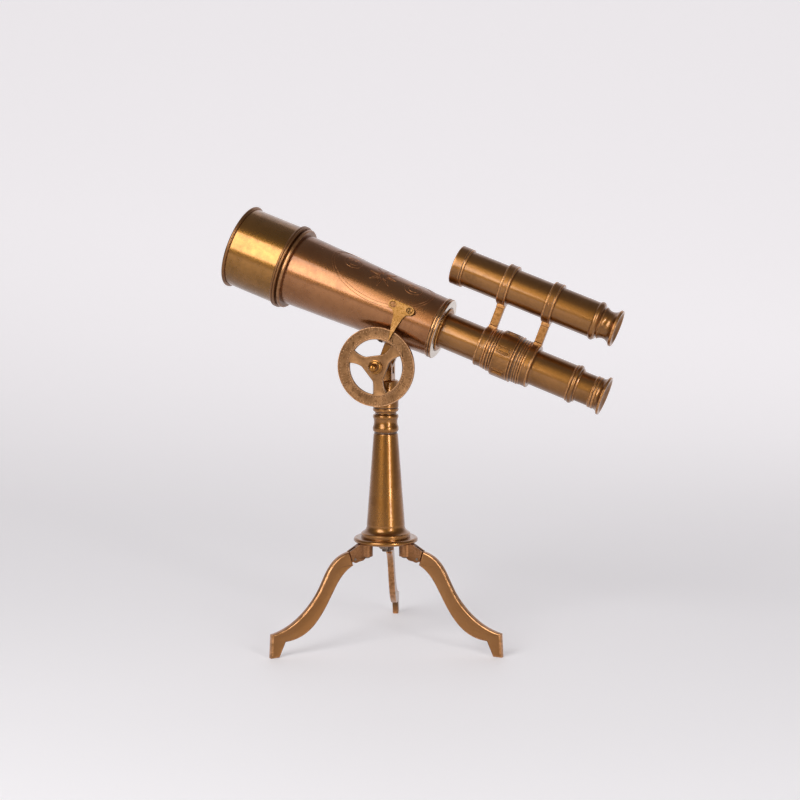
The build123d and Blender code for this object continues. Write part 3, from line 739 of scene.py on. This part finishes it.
SLEEVE_FRAMES = line_tree("sleeve_frames", frame_curves, {"Long": "Float", "Wide": "Float"})
BARREL_OVAL = line_tree("barrel_oval", oval_curves, {"Long": "Float", "Wide": "Float"})


def wrapped_lines(tree, place, station, turn, finish, **sizes):
    """Lines from a tree, centred at a station and turned round the part."""
    empty = bpy.data.meshes.new("empty")
    mesh = grown(tree, empty, Finish=finish, **sizes)
    mesh.transform(place @ Matrix.Translation((station * MM, 0, 0)) @ Matrix.Rotation(turn, 4, "X"))
    outwards(mesh)
    return mesh


# ---- hood and lens cell ----
def hood():
    wall = 0.9
    first, last, outer = span("hood_tube", MAIN)
    inner = outer - wall
    turned_piece("hood_shell", "hood_tube", MAIN, [
        (first, inner), (first, outer), (last, outer), (last, inner),
    ], HOOD_BRASS, facets=192)
    front, back, crown = span("hood_front_rim", MAIN)
    seat = crown - 0.95
    turned_piece("hood_rolled_lip", "hood_front_rim", MAIN, [
        (front, inner), (front, seat), *arc((front, seat), ((front + back) / 2, crown), (back, seat)),
        (back, outer), (first, outer), (first, inner),
    ], RIM_BRASS, facets=192, ease=0.2)
    front, back, crown = span("hood_back_ring", MAIN)
    shoulder = outer + (crown - outer) * 0.45
    groove = 0.35
    middle = (front + back) / 2
    turned_piece("hood_back_bead", "hood_back_ring", MAIN, [
        (front, outer), (front, shoulder),
        *arc((front, shoulder), ((front + middle) / 2, crown), (middle, shoulder + groove)),
        *arc((middle, shoulder + groove), ((middle + back) / 2, crown), (back, shoulder)),
        (back, outer),
    ], RIM_BRASS, facets=192)


def lens_cell():
    front, back, stop = span("objective_cell", MAIN)
    _, _, hood_r = span("hood_tube", MAIN)
    guide = hood_r - 0.95
    collar = -80.1
    lens_seat = -98.0
    lens_bore = 23.4
    throat = 21.2
    joint, _, barrel_r = span("barrel", MAIN)
    spigot = barrel_r - 1.6
    turned_piece("lens_cell", "objective_cell", MAIN, [
        (front, lens_bore), (front, guide), (collar, guide), (collar, stop - 0.5),
        (collar + 0.5, stop), (joint - 0.6, stop), (joint, stop - 0.5), (joint, spigot),
        (back, spigot), (back, throat), (lens_seat, throat), (lens_seat, lens_bore),
    ], RIM_BRASS)
    ring_front, ring_back, ring_r = span("lens_ring", MAIN)
    turned_piece("lens_retaining_ring", "lens_ring", MAIN, [
        (ring_front, 21.9), (ring_front, ring_r), (ring_back, ring_r), (ring_back, 21.4),
    ], RIM_BRASS)
    lens("objective_glass", "objective_lens", MAIN, 1.4)


def lens(name, node, place, bulge):
    """A biconvex lens: two sphere caps and a ground edge."""
    front, back, radius = span(node, place)
    half = radius / 2
    ball = (radius ** 2 + bulge ** 2) / (2 * bulge)
    dip = ball - math.sqrt(ball ** 2 - half ** 2)
    turned_piece(name, node, place, [
        (front, 0.0), *arc((front, 0.0), (front + dip, half), (front + bulge, radius), 12),
        (back - bulge, radius), *arc((back - bulge, radius), (back - dip, half), (back, 0.0), 12),
    ], GLASS, facets=96, ease=0.1)


# ---- barrel ----
def barrel():
    front, back, wide = span("barrel", MAIN)
    narrow = 19.55
    wall = 1.2
    shell = turned(MAIN, [
        (front, wide - wall), (front, wide), (back, narrow), (back, narrow - wall),
    ], BARREL_BRASS, facets=192)
    piece("barrel_shell", shell, "barrel")
    taper = (narrow - wide) / (back - front)
    centre = -19.0
    radius = wide + (centre - front) * taper
    oval = wrapped_lines(
        BARREL_OVAL, MAIN, centre, math.radians(28), ENGRAVED, Long=36.0 * MM, Wide=21.0 * MM,
        Line=0.16 * MM, Copies=1, Start_Radius=radius * MM, Cone=taper,
    )
    piece("barrel_engraving", oval, rides="barrel")


def rear_flange():
    front, back, outer = span("rear_flange", MAIN)
    _, joint, _ = span("barrel", MAIN)
    bore = 13.3
    spigot = 18.3
    turned_piece("rear_flange_turned", "rear_flange", MAIN, [
        (front, bore), (front, spigot), (joint + 0.02, spigot), (joint + 0.02, 19.7),
        (joint + 0.6, outer), (joint + 1.5, outer), (joint + 1.8, outer - 0.35),
        (joint + 2.2, outer - 0.35), (joint + 2.5, outer), (back - 0.6, outer), (back, outer - 0.6),
        (back, 15.4), (back - 0.3, 15.1), (back - 0.3, bore),
    ], FLANGE_BRASS)
    bush_front, bush_back, bush_r = span("draw_bush", MAIN)
    _, _, tube_r = span("draw_tube", MAIN)
    seat = bore - 0.02
    bore = tube_r + 0.05
    turned_piece("draw_bush_turned", "draw_bush", MAIN, [
        (bush_front, bore), (bush_front, seat), (back, seat), (back, bush_r),
        (bush_back - 0.3, bush_r), (bush_back, bush_r - 0.3), (bush_back, bore),
    ], BRIGHT_BRASS)


def pointer_hand():
    """Sheet brass with two round ears and a long hand, set off towards the wheel near its tip."""
    ears, ear_top = 5.8, 45.0
    ear_r = 3.2
    middle = 42.0
    low, high = corners("pointer", LEVEL)
    axis = (low.x + high.x) / 2
    tip = low.z
    ear_face = (-21.9, -21.0)
    tip_face = (low.y, low.y + 0.9)
    right = [
        (0.0, ear_top), (ears, ear_top),
        *arc((ears, ear_top), (ears + ear_r, middle), (ears, middle - ear_r), 18),
        *arc((ears, middle - ear_r), (4.4, 37.6), (3.1, 35.0), 8),
        (1.8, 29.0), (0.25, tip),
    ]
    left = [(-spot[0], spot[1]) for spot in reversed(right[1:])]
    outline = [(axis + spot[0], spot[1]) for spot in right + left]
    mesh = flat_plate(outline, 0.9)
    for vertex in mesh.vertices:
        slide = max(0.0, min(1.0, (33.0 - vertex.co.z / MM) / 5.5))
        near = ear_face[0] + (tip_face[0] - ear_face[0]) * slide
        vertex.co.y += near * MM
    mesh = bevelled(mesh, 0.16)
    mesh.transform(LEVEL)
    return painted(mesh, POINTER_BRASS)


def flat_plate(outline, thick):
    """An upright plate: an outline in X and Z, in millimetres, with its near face at Y = 0."""
    work = bmesh.new()
    face = work.faces.new([work.verts.new((x * MM, 0.0, z * MM)) for x, z in outline])
    pushed = bmesh.ops.extrude_face_region(work, geom=[face])
    for item in pushed["geom"]:
        if isinstance(item, bmesh.types.BMVert):
            item.co.y += thick * MM
    bmesh.ops.recalc_face_normals(work, faces=work.faces)
    mesh = bpy.data.meshes.new("flat_plate")
    work.to_mesh(mesh)
    work.free()
    return mesh


def pointer():
    piece("pointer_hand", pointer_hand(), "pointer")
    softened_piece("pointer_collars", "pointer_spacers", POINTER_BRASS, 0.12, 2)
    low, high = corners("pointer_screws", LEVEL)
    radius = 2.0
    height = 1.0
    z = (low.z + high.z) / 2
    seat = low.y + height
    heads = [
        screws([nearside(low.x + radius, seat, z, 35)], radius, height, 0.55, DARK_SCREWS),
        screws([nearside(high.x - radius, seat, z, 80)], radius, height, 0.55, POINTER_BRASS),
    ]
    piece("pointer_screw_heads", joined(heads), "pointer_screws")


def tilt_bracket():
    softened_piece("saddle_bracket", "tilt_bracket", COLUMN_BRASS, 0.5)
    low, high = corners("bracket_screws", LEVEL)
    main_low, main_high = corners("hood_tube", LEVEL)
    rise = (main_low.z + main_high.z) / 2
    places = []
    for x in (low.x + 1.7, high.x - 1.7):
        reach = 22.4 if x < 0 else 21.85
        for lean in (-20, 20):
            tip = math.radians(lean)
            spot = Vector((x, reach * math.sin(tip), rise - reach * math.cos(tip))) * MM
            turn = Matrix.Rotation(math.pi + tip, 4, "X") @ Matrix.Rotation(0.7 + x * 0.3, 4, "Z")
            places.append(LEVEL @ Matrix.Translation(spot) @ turn)
    piece("bracket_screw_heads", screws(places, 1.7, 1.0, 0.45, STEEL), "bracket_screws")


# ---- draw tube, sleeve and clamp rings ----
TUBE_BORE = 10.7


def draw_tube():
    _, _, radius = span("draw_tube", MAIN)
    outline = ringed("draw_tube", TUBE_BORE)
    turned_piece("draw_tube_drawn", "draw_tube", MAIN, outline, TUBE_BRONZE)
    stop_opening = 6.5
    for name, node, inner, finish in (
        ("draw_stop_turned", "draw_stop_ring", radius, RING_BRONZE),
        ("field_stop_disc", "field_stop", stop_opening, BLACK),
    ):
        turned_piece(name, node, MAIN, ringed(node, inner), finish)


def ringed(node, inner, place=MAIN):
    """A plain ring's outline between a node's ends."""
    front, back, outer = span(node, place)
    return [(front, inner), (front, outer), (back, outer), (back, inner)]


def clamp_sleeve():
    front, back, outer = span("clamp_sleeve", MAIN)
    _, _, tube_r = span("draw_tube", MAIN)
    inner = tube_r + 0.01
    steps = [
        (0.0, 13.3), (0.5, 13.7), (1.4, 13.7), (1.7, 13.3), (2.3, 13.3), (2.6, 14.0), (3.4, 14.0),
        (3.7, 13.5), (4.1, 13.5), (4.3, 13.9), (4.9, 13.9), (5.1, 13.6), (5.3, 13.6), (5.8, 14.9),
        (6.3, 15.2), (17.3, 15.2), (17.8, 14.6), (18.2, 14.6), (18.5, outer), (19.2, outer),
        (19.6, 14.2), (20.6, 14.2), (20.8, 14.5), (21.3, 14.5), (21.5, 14.2), (22.2, 14.2),
        (22.4, 14.5), (22.9, 14.5), (23.1, 14.2), (23.6, 14.2), (23.9, 14.6), (24.4, 14.6),
        (24.7, 14.2),
    ]
    outline = [(front, inner), *((front + step, radius) for step, radius in steps), (back, inner)]
    body = turned(MAIN, outline, RING_BRONZE, ease=0.1)
    middle = front + (6.3 + 17.3) / 2
    frames = wrapped_lines(
        SLEEVE_FRAMES, MAIN, middle, math.radians(12), RING_BRONZE, Long=9.0 * MM, Wide=4.6 * MM,
        Line=0.34 * MM, Copies=6, Start_Radius=15.22 * MM, Cone=0.0,
    )
    piece("decorated_sleeve", joined([body, frames]), "clamp_sleeve")


def clamp_and_finder_rings():
    tube_radius = {"main": span("draw_tube", MAIN)[2], "finder": span("finder_tube", FINDER)[2]}
    heads = []
    for end, turn_low, turn_high in (("front", 20, 50), ("rear", 75, 130)):
        for key, place, node, up, turn in (
            ("main", MAIN, f"clamp_ring_{end}", 1, turn_low),
            ("finder", FINDER, f"finder_ring_{end}", -1, turn_high),
        ):
            front, back, outer = span(node, place)
            inner = tube_radius[key] + 0.01
            band = turned(place, [
                (front, inner), (front, outer - 0.35), (front + 0.35, outer), (front + 1.1, outer),
                (front + 1.4, outer - 0.22), (back - 1.4, outer - 0.22), (back - 1.1, outer),
                (back - 0.35, outer), (back, outer - 0.35), (back, inner),
            ], RING_BRONZE, ease=0.12)
            middle = (front + back) / 2
            low, high = corners(node, place)
            post_low, post_high = corners(f"post_{end}", place)
            tip = high.z if up > 0 else low.z
            ends = sorted((tip, up * (outer - 0.8)))
            lug = block(
                place, (post_low.x - 0.1, -2.2, ends[0]), (post_high.x + 0.1, 2.2, ends[1]),
                RING_BRONZE, 0.4,
            )
            piece(f"{node}_turned", joined([band, lug]), node)
            level = (LEVEL.inverted() @ place).to_translation().z / MM
            heads.append(nearside(middle, -outer + 0.32, level, turn))
        node = f"post_{end}"
        low, high = corners(node, LEVEL)
        bar = block(LEVEL, low, high, TUBE_BRONZE, 0.4)
        piece(f"{node}_bar", bar, node)
    piece("ring_set_screws", screws(heads, 1.0, 0.35, 0.3, DARK_SCREWS), "ring_screws")


def rear_collar():
    front, back, crown = span("rear_collar", MAIN)
    _, end, tube_r = span("draw_tube", MAIN)
    _, _, neck = span("eyepiece_tube", MAIN)
    bead = 117.8
    inner = tube_r + 0.01
    turned_piece("rear_collar_turned", "rear_collar", MAIN, [
        (bead, inner), (bead, 11.9), (bead + 0.4, 12.2), (bead + 1.1, 12.2), (bead + 1.4, 11.9),
        *arc((bead + 1.4, 11.9), (bead + 2.8, crown), (bead + 4.2, 11.9)), (bead + 4.5, 11.2),
        (back, 10.9), (back, neck + 0.05), (front, neck + 0.05), (front, 10.69), (end, 10.69),
        (end, inner),
    ], RING_BRONZE)


# ---- finder ----
def finder():
    front, back, radius = span("finder_tube", FINDER)
    outline = ringed("finder_tube", TUBE_BORE, FINDER)
    turned_piece("finder_tube_drawn", "finder_tube", FINDER, outline, TUBE_BRONZE)
    cap_front, cap_back, cap_r = span("finder_cap", FINDER)
    seat = radius + 0.01
    turned_piece("finder_front_cell", "finder_cap", FINDER, [
        (cap_front, 10.2), (cap_front, cap_r - 0.4), (cap_front + 0.4, cap_r),
        (cap_back - 2.0, cap_r), (cap_back - 1.8, cap_r - 0.25), (cap_back - 1.3, cap_r - 0.25),
        (cap_back - 1.1, cap_r), (cap_back - 0.4, cap_r), (cap_back, cap_r - 0.4),
        (cap_back, seat), (front, seat), (front, 10.2),
    ], RING_BRONZE)
    bush, collar_back, crown = span("finder_collar", FINDER)
    _, _, neck = span("finder_eyepiece_tube", FINDER)
    bead = 117.2
    turned_piece("finder_collar_turned", "finder_collar", FINDER, [
        (bead, seat), (bead, 11.9), *arc((bead, 11.9), (bead + 1.7, crown), (bead + 3.1, 11.8)),
        (collar_back, 11.0), (collar_back, neck + 0.05), (bush, neck + 0.05), (bush, 10.69),
        (back, 10.69), (back, seat),
    ], RING_BRONZE)
    lens("finder_objective_glass", "finder_lens", FINDER, 0.9)


# ---- eyepieces ----
def eyepieces():
    for name, node, place, bore in (
        ("eyepiece_neck", "eyepiece_tube", MAIN, 8.9),
        ("finder_eyepiece_neck", "finder_eyepiece_tube", FINDER, 8.3),
    ):
        turned_piece(name, node, place, ringed(node, bore, place), TUBE_BRONZE)
    front, back, _ = span("eyecup", MAIN)
    turned_piece("eyecup_turned", "eyecup", MAIN, [
        (front, 7.4), (front, 8.88), (132.4, 8.88), (132.4, 10.1), (132.9, 10.5), (134.0, 10.5),
        (134.2, 10.25), (134.6, 10.25), (134.8, 10.5), (135.9, 10.5), (136.3, 10.1), (136.6, 10.1),
        *arc((136.6, 10.1), (138.5, 10.9), (139.5, 12.4)), (139.8, 12.6), (140.7, 12.6),
        (back, 12.3), (back, 11.2), *arc((back, 11.2), (139.2, 7.6), (138.2, 4.2)), (136.0, 4.2),
        (136.0, 7.4),
    ], RING_BRONZE, ease=0.1)
    lens("eye_glass", "eye_lens", MAIN, 1.4)
    front, back, _ = span("finder_eyecup", FINDER)
    turned_piece("finder_eyecup_turned", "finder_eyecup", FINDER, [
        (front, 6.9), (front, 8.28), (122.0, 8.28), (122.0, 10.2), (122.4, 10.5), (122.9, 10.1),
        *arc((122.9, 10.1), (126.0, 9.0), (130.2, 11.0)), (130.9, 11.9), (132.1, 11.9),
        (back, 11.6), (back, 10.6), *arc((back, 10.6), (130.4, 7.2), (129.4, 3.9)), (127.0, 3.9),
        (127.0, 6.9),
    ], RING_BRONZE, ease=0.1)
    lens("finder_eye_glass", "finder_eye_lens", FINDER, 1.2)


# ---- wheel and knob ----
def flat_loop(curve, points):
    """Add a closed line through flat points, in millimetres, to a curve."""
    line = curve.splines.new("POLY")
    line.points.add(len(points) - 1)
    for spot, (x, y) in zip(line.points, points):
        spot.co = (x * MM, y * MM, 0.0, 1.0)
    line.use_cyclic_u = True


def plate(loops, low, high, round_off, place, finish, clean_edge=0.0):
    """A flat plate with holes, from loops in a place's XY plane, between two heights of its Z.

    A clean edge, in millimetres, keeps the curvature of the rounded edges, with its painted highlight and shade,
    off the broad faces.
    """
    curve = bpy.data.curves.new("plate", "CURVE")
    curve.dimensions = "2D"
    curve.fill_mode = "BOTH"
    curve.extrude = (high - low) / 2 * MM - round_off * MM
    curve.bevel_depth = round_off * MM
    curve.bevel_resolution = 2
    curve.offset = -round_off * MM
    for loop in loops:
        flat_loop(curve, loop)
    mesh = baked(placed("holder", curve))
    work = bmesh.new()
    work.from_mesh(mesh)
    bmesh.ops.remove_doubles(work, verts=work.verts, dist=1e-6)
    bmesh.ops.recalc_face_normals(work, faces=work.faces)
    work.to_mesh(mesh)
    work.free()
    mesh = mark_wear(crisp(mesh, 60.0))
    if clean_edge:
        work = bmesh.new()
        work.from_mesh(mesh)
        wear = work.verts.layers.float["wear"]
        broad = [face for face in work.faces if abs(face.normal.z) > 0.999]
        bmesh.ops.inset_region(work, faces=broad, thickness=clean_edge * MM, use_even_offset=False)
        for vertex in {vertex for face in broad for vertex in face.verts}:
            vertex[wear] = 0.0
        work.to_mesh(mesh)
        work.free()
    mesh.transform(Matrix.Translation((0, 0, (low + high) / 2 * MM)))
    mesh.transform(place)
    return painted(mesh, finish)


def soil(mesh, amount):
    """Lower the curvature of a mesh's flat points, so that they are drawn a little darker."""
    for item in mesh.attributes["wear"].data:
        item.value = item.value if item.value > 0.3 else amount


def circle(radius, steps=144):
    turns = [math.tau * step / steps for step in range(steps)]
    return [(radius * math.cos(turn), radius * math.sin(turn)) for turn in turns]


def window(middle, hub, rim):
    """One opening between two spokes, seen from the front of the wheel."""
    def polar(radius, turn):
        at = math.radians(middle + turn)
        return (radius * math.cos(at), radius * math.sin(at))
    low, high = polar(hub, -38.5), polar(hub, 38.5)
    rim_low, rim_high = polar(rim, -45.5), polar(rim, 45.5)
    points = [
        (*low, 0.0), *arc(low, polar(13.2, -45.8), rim_low, 14),
        *arc(rim_low, polar(rim, 0), rim_high, 40), *arc(rim_high, polar(13.2, 45.8), high, 14),
    ]
    return [point[:2] for point in points]


def degree_numbers(radius, size, face, finish):
    """Raised numbers round an altitude circle, 0 at each side and 90 above and below."""
    meshes = []
    for step in range(24):
        turn = math.radians(15 * step)
        level = 15 * min(step % 12, 12 - step % 12)
        text = bpy.data.curves.new("number", "FONT")
        text.body = str(level)
        text.size = size * MM
        text.extrude = 0.4 * MM
        text.resolution_u = 3
        text.align_x = "CENTER"
        text.align_y = "CENTER"
        mesh = baked(placed("holder", text))
        upright = Matrix.Rotation(turn, 4, "Z") @ Matrix.Translation((0, radius * MM, 0))
        mesh.transform(Matrix.Translation((0, 0, face * MM)) @ upright)
        meshes.append(painted(mesh, finish))
    return joined(meshes)


def tick_tree():
    """Raised bars and beads round a dial, drawn in the XY plane."""
    tree, given = new_tree("graduations", {
        "Ring Radius": "Float", "Count": "Int", "Length": "Float", "Width": "Float",
        "Height": "Float", "Finish": "Material",
    })
    wire = Wire(tree)
    ring = wire.node("GeometryNodeMeshCircle", (), {
        "Vertices": given["Count"], "Radius": given["Ring Radius"],
    })
    size = wire.node("ShaderNodeCombineXYZ", (), {
        "X": given["Length"], "Y": given["Width"], "Z": given["Height"],
    })
    bar = wire.node("GeometryNodeMeshCube", (), {"Size": size})
    index = wire.node("GeometryNodeInputIndex")
    spin = wire.node("ShaderNodeCombineXYZ", (), {"Z": index * math.tau / given["Count"]})
    bars = wire.node("GeometryNodeInstanceOnPoints", (), {
        "Points": ring, "Instance": bar, "Rotation": spin,
    })
    return close_tree(tree, bars, given["Finish"])


def wheel():
    back, front, rim = span("tilt_wheel", NEAR)
    opening = 17.7
    lip = 0.8
    sunk = 0.55
    hub = 9.3
    bore = 2.05
    windows = [window(188.5 + 120 * k, hub, opening) for k in range(3)]
    face = front - sunk
    dial_place = NEAR @ Matrix.Rotation(math.pi / 2, 4, "Y")
    body = plate(
        [circle(rim), circle(bore, 32), *windows], back, face, 0.4, dial_place, WHEEL_BRONZE,
        clean_edge=0.4,
    )
    spokes = plate(
        [circle(opening + 1.3), circle(bore, 32), *windows], face - 1.4, front, 0.42, dial_place,
        WHEEL_BRONZE, clean_edge=0.15,
    )
    # the flat points of the recessed back plate are drawn a little darker
    soil(body, -0.12)
    edge = turned(NEAR, [
        (face - 0.9, rim - lip), (front, rim - lip + 0.1), (front, rim - 0.1), (face - 0.9, rim),
    ], WHEEL_BRONZE, ease=0.16, facets=192)
    ticks = tick_tree()
    dial = []
    for radius, count, length, width in (
        (23.95, 72, 1.0, 0.26), (23.75, 24, 1.5, 0.42), (19.35, 72, 0.5, 0.5),
    ):
        dial.append(grown(
            ticks, bpy.data.meshes.new("empty"), Ring_Radius=radius * MM, Count=count,
            Length=length * MM, Width=width * MM, Height=0.8 * MM, Finish=WHEEL_BRONZE,
        ))
        dial[-1].transform(Matrix.Translation((0, 0, face * MM)))
    dial.append(degree_numbers(21.55, 2.7, face, WHEEL_BRONZE))
    marks = joined(dial)
    marks.transform(dial_place @ Matrix.Rotation(math.pi / 2, 4, "Z"))
    piece("altitude_wheel", joined([body, spokes, edge, mark_wear(crisp(marks))]), "tilt_wheel")


def knob():
    back, front, flange = span("wheel_knob", NEAR)
    ball_r = 2.95
    ball = back + 5.9
    stem = 2.0
    bore = 1.35
    end = ball - math.sqrt(ball_r ** 2 - stem ** 2)
    depth = 4.2
    turned_piece("ball_knob", "wheel_knob", NEAR, [
        (back + depth, 0.0), (back + depth, bore), (back, bore), (back, flange), (back + 1.1, flange),
        (back + 1.3, flange - 0.7), (back + 1.7, 3.4), (back + 2.1, 2.3), (back + 2.6, stem),
        (end, stem), *arc((end, stem), (ball, ball_r), (front, 0.0), 24),
    ], BRIGHT_BRASS, facets=64, ease=0.2)


# ---- head, column and plate ----
def head():
    low, high, radius = span("swivel_head", UPRIGHT)
    bore = 3.55
    tenon = 3.01
    shoulder = 7.1
    turned_piece("swivel_head_turned", "swivel_head", UPRIGHT, [
        (low, bore), (low, shoulder), (low + 0.9, shoulder), (low + 1.1, 8.0), (low + 1.9, radius),
        (low + 3.0, radius), (low + 3.2, radius - 0.3), (low + 3.7, radius - 0.3),
        (low + 3.9, radius), (high - 0.8, radius), (high, radius - 0.75), (high, tenon),
        (170.3, tenon), (170.3, bore),
    ], COLUMN_BRASS)
    softened_piece("fork_yoke", "fork", COLUMN_BRASS, 0.45)
    for node, width in (("axle_washer", 0.12), ("axle_nut", 0.3), ("swivel_set_screw", 0.08)):
        softened_piece(f"{node}_finished", node, STEEL, width, 2)
    back, front, flange = span("axle_sleeve", NEAR)
    turned_piece("axle_spacer", "axle_sleeve", NEAR, [
        (back, 2.01), (back, flange), (back + 1.2, flange), (back + 1.2, 3.9), (front, 3.9),
        (front, 2.01),
    ], COLUMN_BRASS, facets=72)
    back, front, radius = span("tilt_axle", NEAR)
    step = 22.45
    tip = 1.3
    turned_piece("tilt_axle_turned", "tilt_axle", NEAR, [
        (back, 0.0), (back, radius), (step, radius), (step, tip), (front, tip), (front, 0.0),
    ], STEEL, facets=48)


def column():
    low, high, foot = span("column", UPRIGHT)
    bore = 3.51
    stud = 2.51
    turned_piece("column_turned", "column", UPRIGHT, [
        (low, stud), (low, foot), (73.6, foot), (74.2, foot - 0.6),
        *arc((74.2, foot - 0.6), (75.6, 13.7), (79.4, 12.6), 14), (139.4, 8.05), (139.9, 7.55),
        (141.0, 7.55), (141.2, 8.1), *arc((141.2, 8.1), (143.1, 8.55), (145.0, 8.1)),
        *arc((145.0, 8.1), (147.4, 7.75), (149.6, 8.0)),
        *arc((149.6, 8.0), (151.1, 8.45), (152.4, 8.0)),
        (152.6, 7.1), (high, 7.1), (high, bore), (118.0, bore), (118.0, stud),
    ], COLUMN_BRASS)
    low, high, rim = span("base_plate", UPRIGHT)
    inner = rim - 1.5
    turned_piece("base_plate_turned", "base_plate", UPRIGHT, [
        (low, stud), (low, inner), *arc((low, inner), ((low + high) / 2, rim), (high, inner), 12),
        (high, stud),
    ], COLUMN_BRASS)
    softened_piece("stud_nut", "rod_nut", STEEL, 0.35, 2)


# ---- legs and lugs ----
def broad_face(node, place):
    """The outline of a flat node's largest face, in the place's X and Z, in millimetres."""
    mesh = cad_copy(node)
    largest = max(mesh.polygons, key=lambda face: face.area)
    inverse = place.inverted()
    points = [inverse @ mesh.vertices[index].co / MM for index in largest.vertices]
    return [(point.x, point.z) for point in points]


def leg(side):
    """A leg's thick plate with well rounded edges, and its thin hinge tongue."""
    joint = JOINTS[f"leg_{side}_fold"]
    out = Vector((joint["axis"][1], -joint["axis"][0], 0.0))
    pin = Vector(joint["pos_m"])
    out = out if out.dot(pin) > 0 else -out
    place = Matrix.Rotation(math.atan2(out.y, out.x), 4, "Z")
    low, high = corners(f"leg_{side}", place)
    flat = place @ Matrix.Rotation(math.pi / 2, 4, "X")
    outline = broad_face(f"leg_{side}", place)
    body = plate([outline], low.y, high.y, 0.95, flat, LEG_BRASS, clean_edge=0.5)
    reach, height = pin.to_2d().length / MM, pin.z / MM
    tongue = block(
        place, (reach - 2.4, -0.75, height - 2.0), (reach + 4.2, 0.75, height + 2.2), LEG_BRASS, 0.2
    )
    whole = joined([body, tongue])
    for vertex in whole.vertices:
        vertex.co.z = max(vertex.co.z, 0.0)
    return whole


def legs():
    spots = []
    for side in ("back", "left", "right"):
        piece(f"leg_{side}_plate", leg(side), f"leg_{side}")
        softened_piece(f"leg_lug_{side}_cast", f"leg_lug_{side}", LUG_BRASS, 0.4)
        joint = JOINTS[f"leg_{side}_fold"]
        out = Vector((joint["axis"][1], -joint["axis"][0], 0.0)).normalized()
        low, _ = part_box("lug_screws")
        under = out * (14.6 * MM) + Vector((0, 0, low.z + 1.0 * MM))
        spots.append(Matrix.Translation(under) @ Matrix.Rotation(math.pi, 4, "X"))
    piece("lug_screw_heads", screws(spots, 2.6, 1.0, 0.7, STEEL), "lug_screws")
    softened_piece("hinge_pin_ends", "hinge_pins", STEEL, 0.25, 2)


# ---- what stays as the CAD made it ----
def plain_nodes():
    """The hidden rod and its washer keep their CAD shape and take a finish."""
    for node in ("pivot_rod", "rod_washer"):
        data = frame["nodes"][node].data
        data.materials.clear()
        data.materials.append(STEEL)


# ---- studio ----
BEARING = math.radians(17.0)    # the camera's bearing from the object's front
MIDDLE_HEIGHT = 0.16            # what the lamps aim at
LAMP_DISTANCE = 1.2


def camera():
    side = BEARING
    back = Vector((math.sin(side), -math.cos(side), 0.0))
    right = Vector((math.cos(side), math.sin(side), 0.0))
    pitch = math.radians(6.4)
    yaw = math.radians(0.4876)
    level = -back * math.cos(yaw) + right * math.sin(yaw)
    ahead = level * math.cos(pitch) - Vector((0, 0, math.sin(pitch)))
    data = bpy.data.cameras.new("camera")
    data.lens = 76.14
    data.sensor_width = 36.0
    data.clip_start = 0.05
    data.clip_end = 50.0
    eye = placed("camera", data)
    eye.location = back * 1.1 + Vector((0, 0, 0.285))
    eye.rotation_euler = ahead.to_track_quat("-Z", "Y").to_euler()
    bpy.context.scene.camera = eye


def softbox(name, azimuth, elevation, width, height, watts):
    """A rectangular light aimed at the object, placed by its bearing from the front."""
    a, e = math.radians(azimuth), math.radians(elevation)
    away = Vector((math.sin(a) * math.cos(e), -math.cos(a) * math.cos(e), math.sin(e)))
    data = bpy.data.lights.new(name, "AREA")
    data.shape = "RECTANGLE"
    data.size = width
    data.size_y = height
    data.energy = watts
    lamp = placed(name, data)
    lamp.location = Vector((0.0, 0.0, MIDDLE_HEIGHT)) + away * LAMP_DISTANCE
    lamp.rotation_euler = away.to_track_quat("Z", "Y").to_euler()


def sweep():
    """The pale floor, curving up behind into a backdrop, with painted light: it glows, brighter towards the back.
    """
    half = 4.0
    radius = 2.6
    rear = 0.7
    line = [(-3.0, 0.0), (rear, 0.0)]
    for step in range(1, 17):
        turn = step / 16 * math.pi / 2
        line.append((rear + radius * math.sin(turn), radius - radius * math.cos(turn)))
    line.append((rear + radius, 5.0))
    points = [(side * half, y, z) for y, z in line for side in (-1, 1)]
    faces = [(2 * k, 2 * k + 1, 2 * k + 3, 2 * k + 2) for k in range(len(line) - 1)]
    mesh = bpy.data.meshes.new("floor")
    mesh.from_pydata(points, [], faces)
    mesh.transform(Matrix.Rotation(BEARING, 4, "Z"))
    mesh.polygons.foreach_set("use_smooth", [True] * len(mesh.polygons))
    material, wire, shader = started("pale_floor")
    shader.inputs["Base Color"].default_value = rgba(0.62, 0.61, 0.62)
    shader.inputs["Roughness"].default_value = 0.6
    shader.inputs["Emission Strength"].default_value = 1.0
    here = wire.node("ShaderNodeTexCoord", output="Object")
    # painted light: the floor glows, darker near the front and brighter towards the back
    depth = wire.node("ShaderNodeSeparateXYZ", (), {0: here}, output="Y")
    painted_floor_light = depth.between(-0.1, 1.65).mix(rgba(0.265, 0.256, 0.263), rgba(0.570, 0.550, 0.564))
    wire.feed(shader.inputs["Emission Color"], painted_floor_light)
    mesh.materials.append(material)
    placed("floor", mesh)


def studio():
    scene = bpy.context.scene
    world = bpy.data.worlds.new("room")
    scene.world = world
    world.use_nodes = True
    background = world.node_tree.nodes["Background"]
    background.inputs["Color"].default_value = rgba(1.0, 0.975, 1.0)
    background.inputs["Strength"].default_value = 0.24
    scene.view_settings.view_transform = "Standard"
    camera()
    sweep()
    softbox("front_left_box", -18.5, 27.0, 0.62, 0.95, 10.4)
    softbox("right_box", 49.0, 10.0, 0.17, 0.80, 5.6)


studio()
hood()
lens_cell()
barrel()
rear_flange()
pointer()
tilt_bracket()
draw_tube()
clamp_sleeve()
clamp_and_finder_rings()
rear_collar()
finder()
eyepieces()
wheel()
knob()
head()
column()
legs()
plain_nodes()
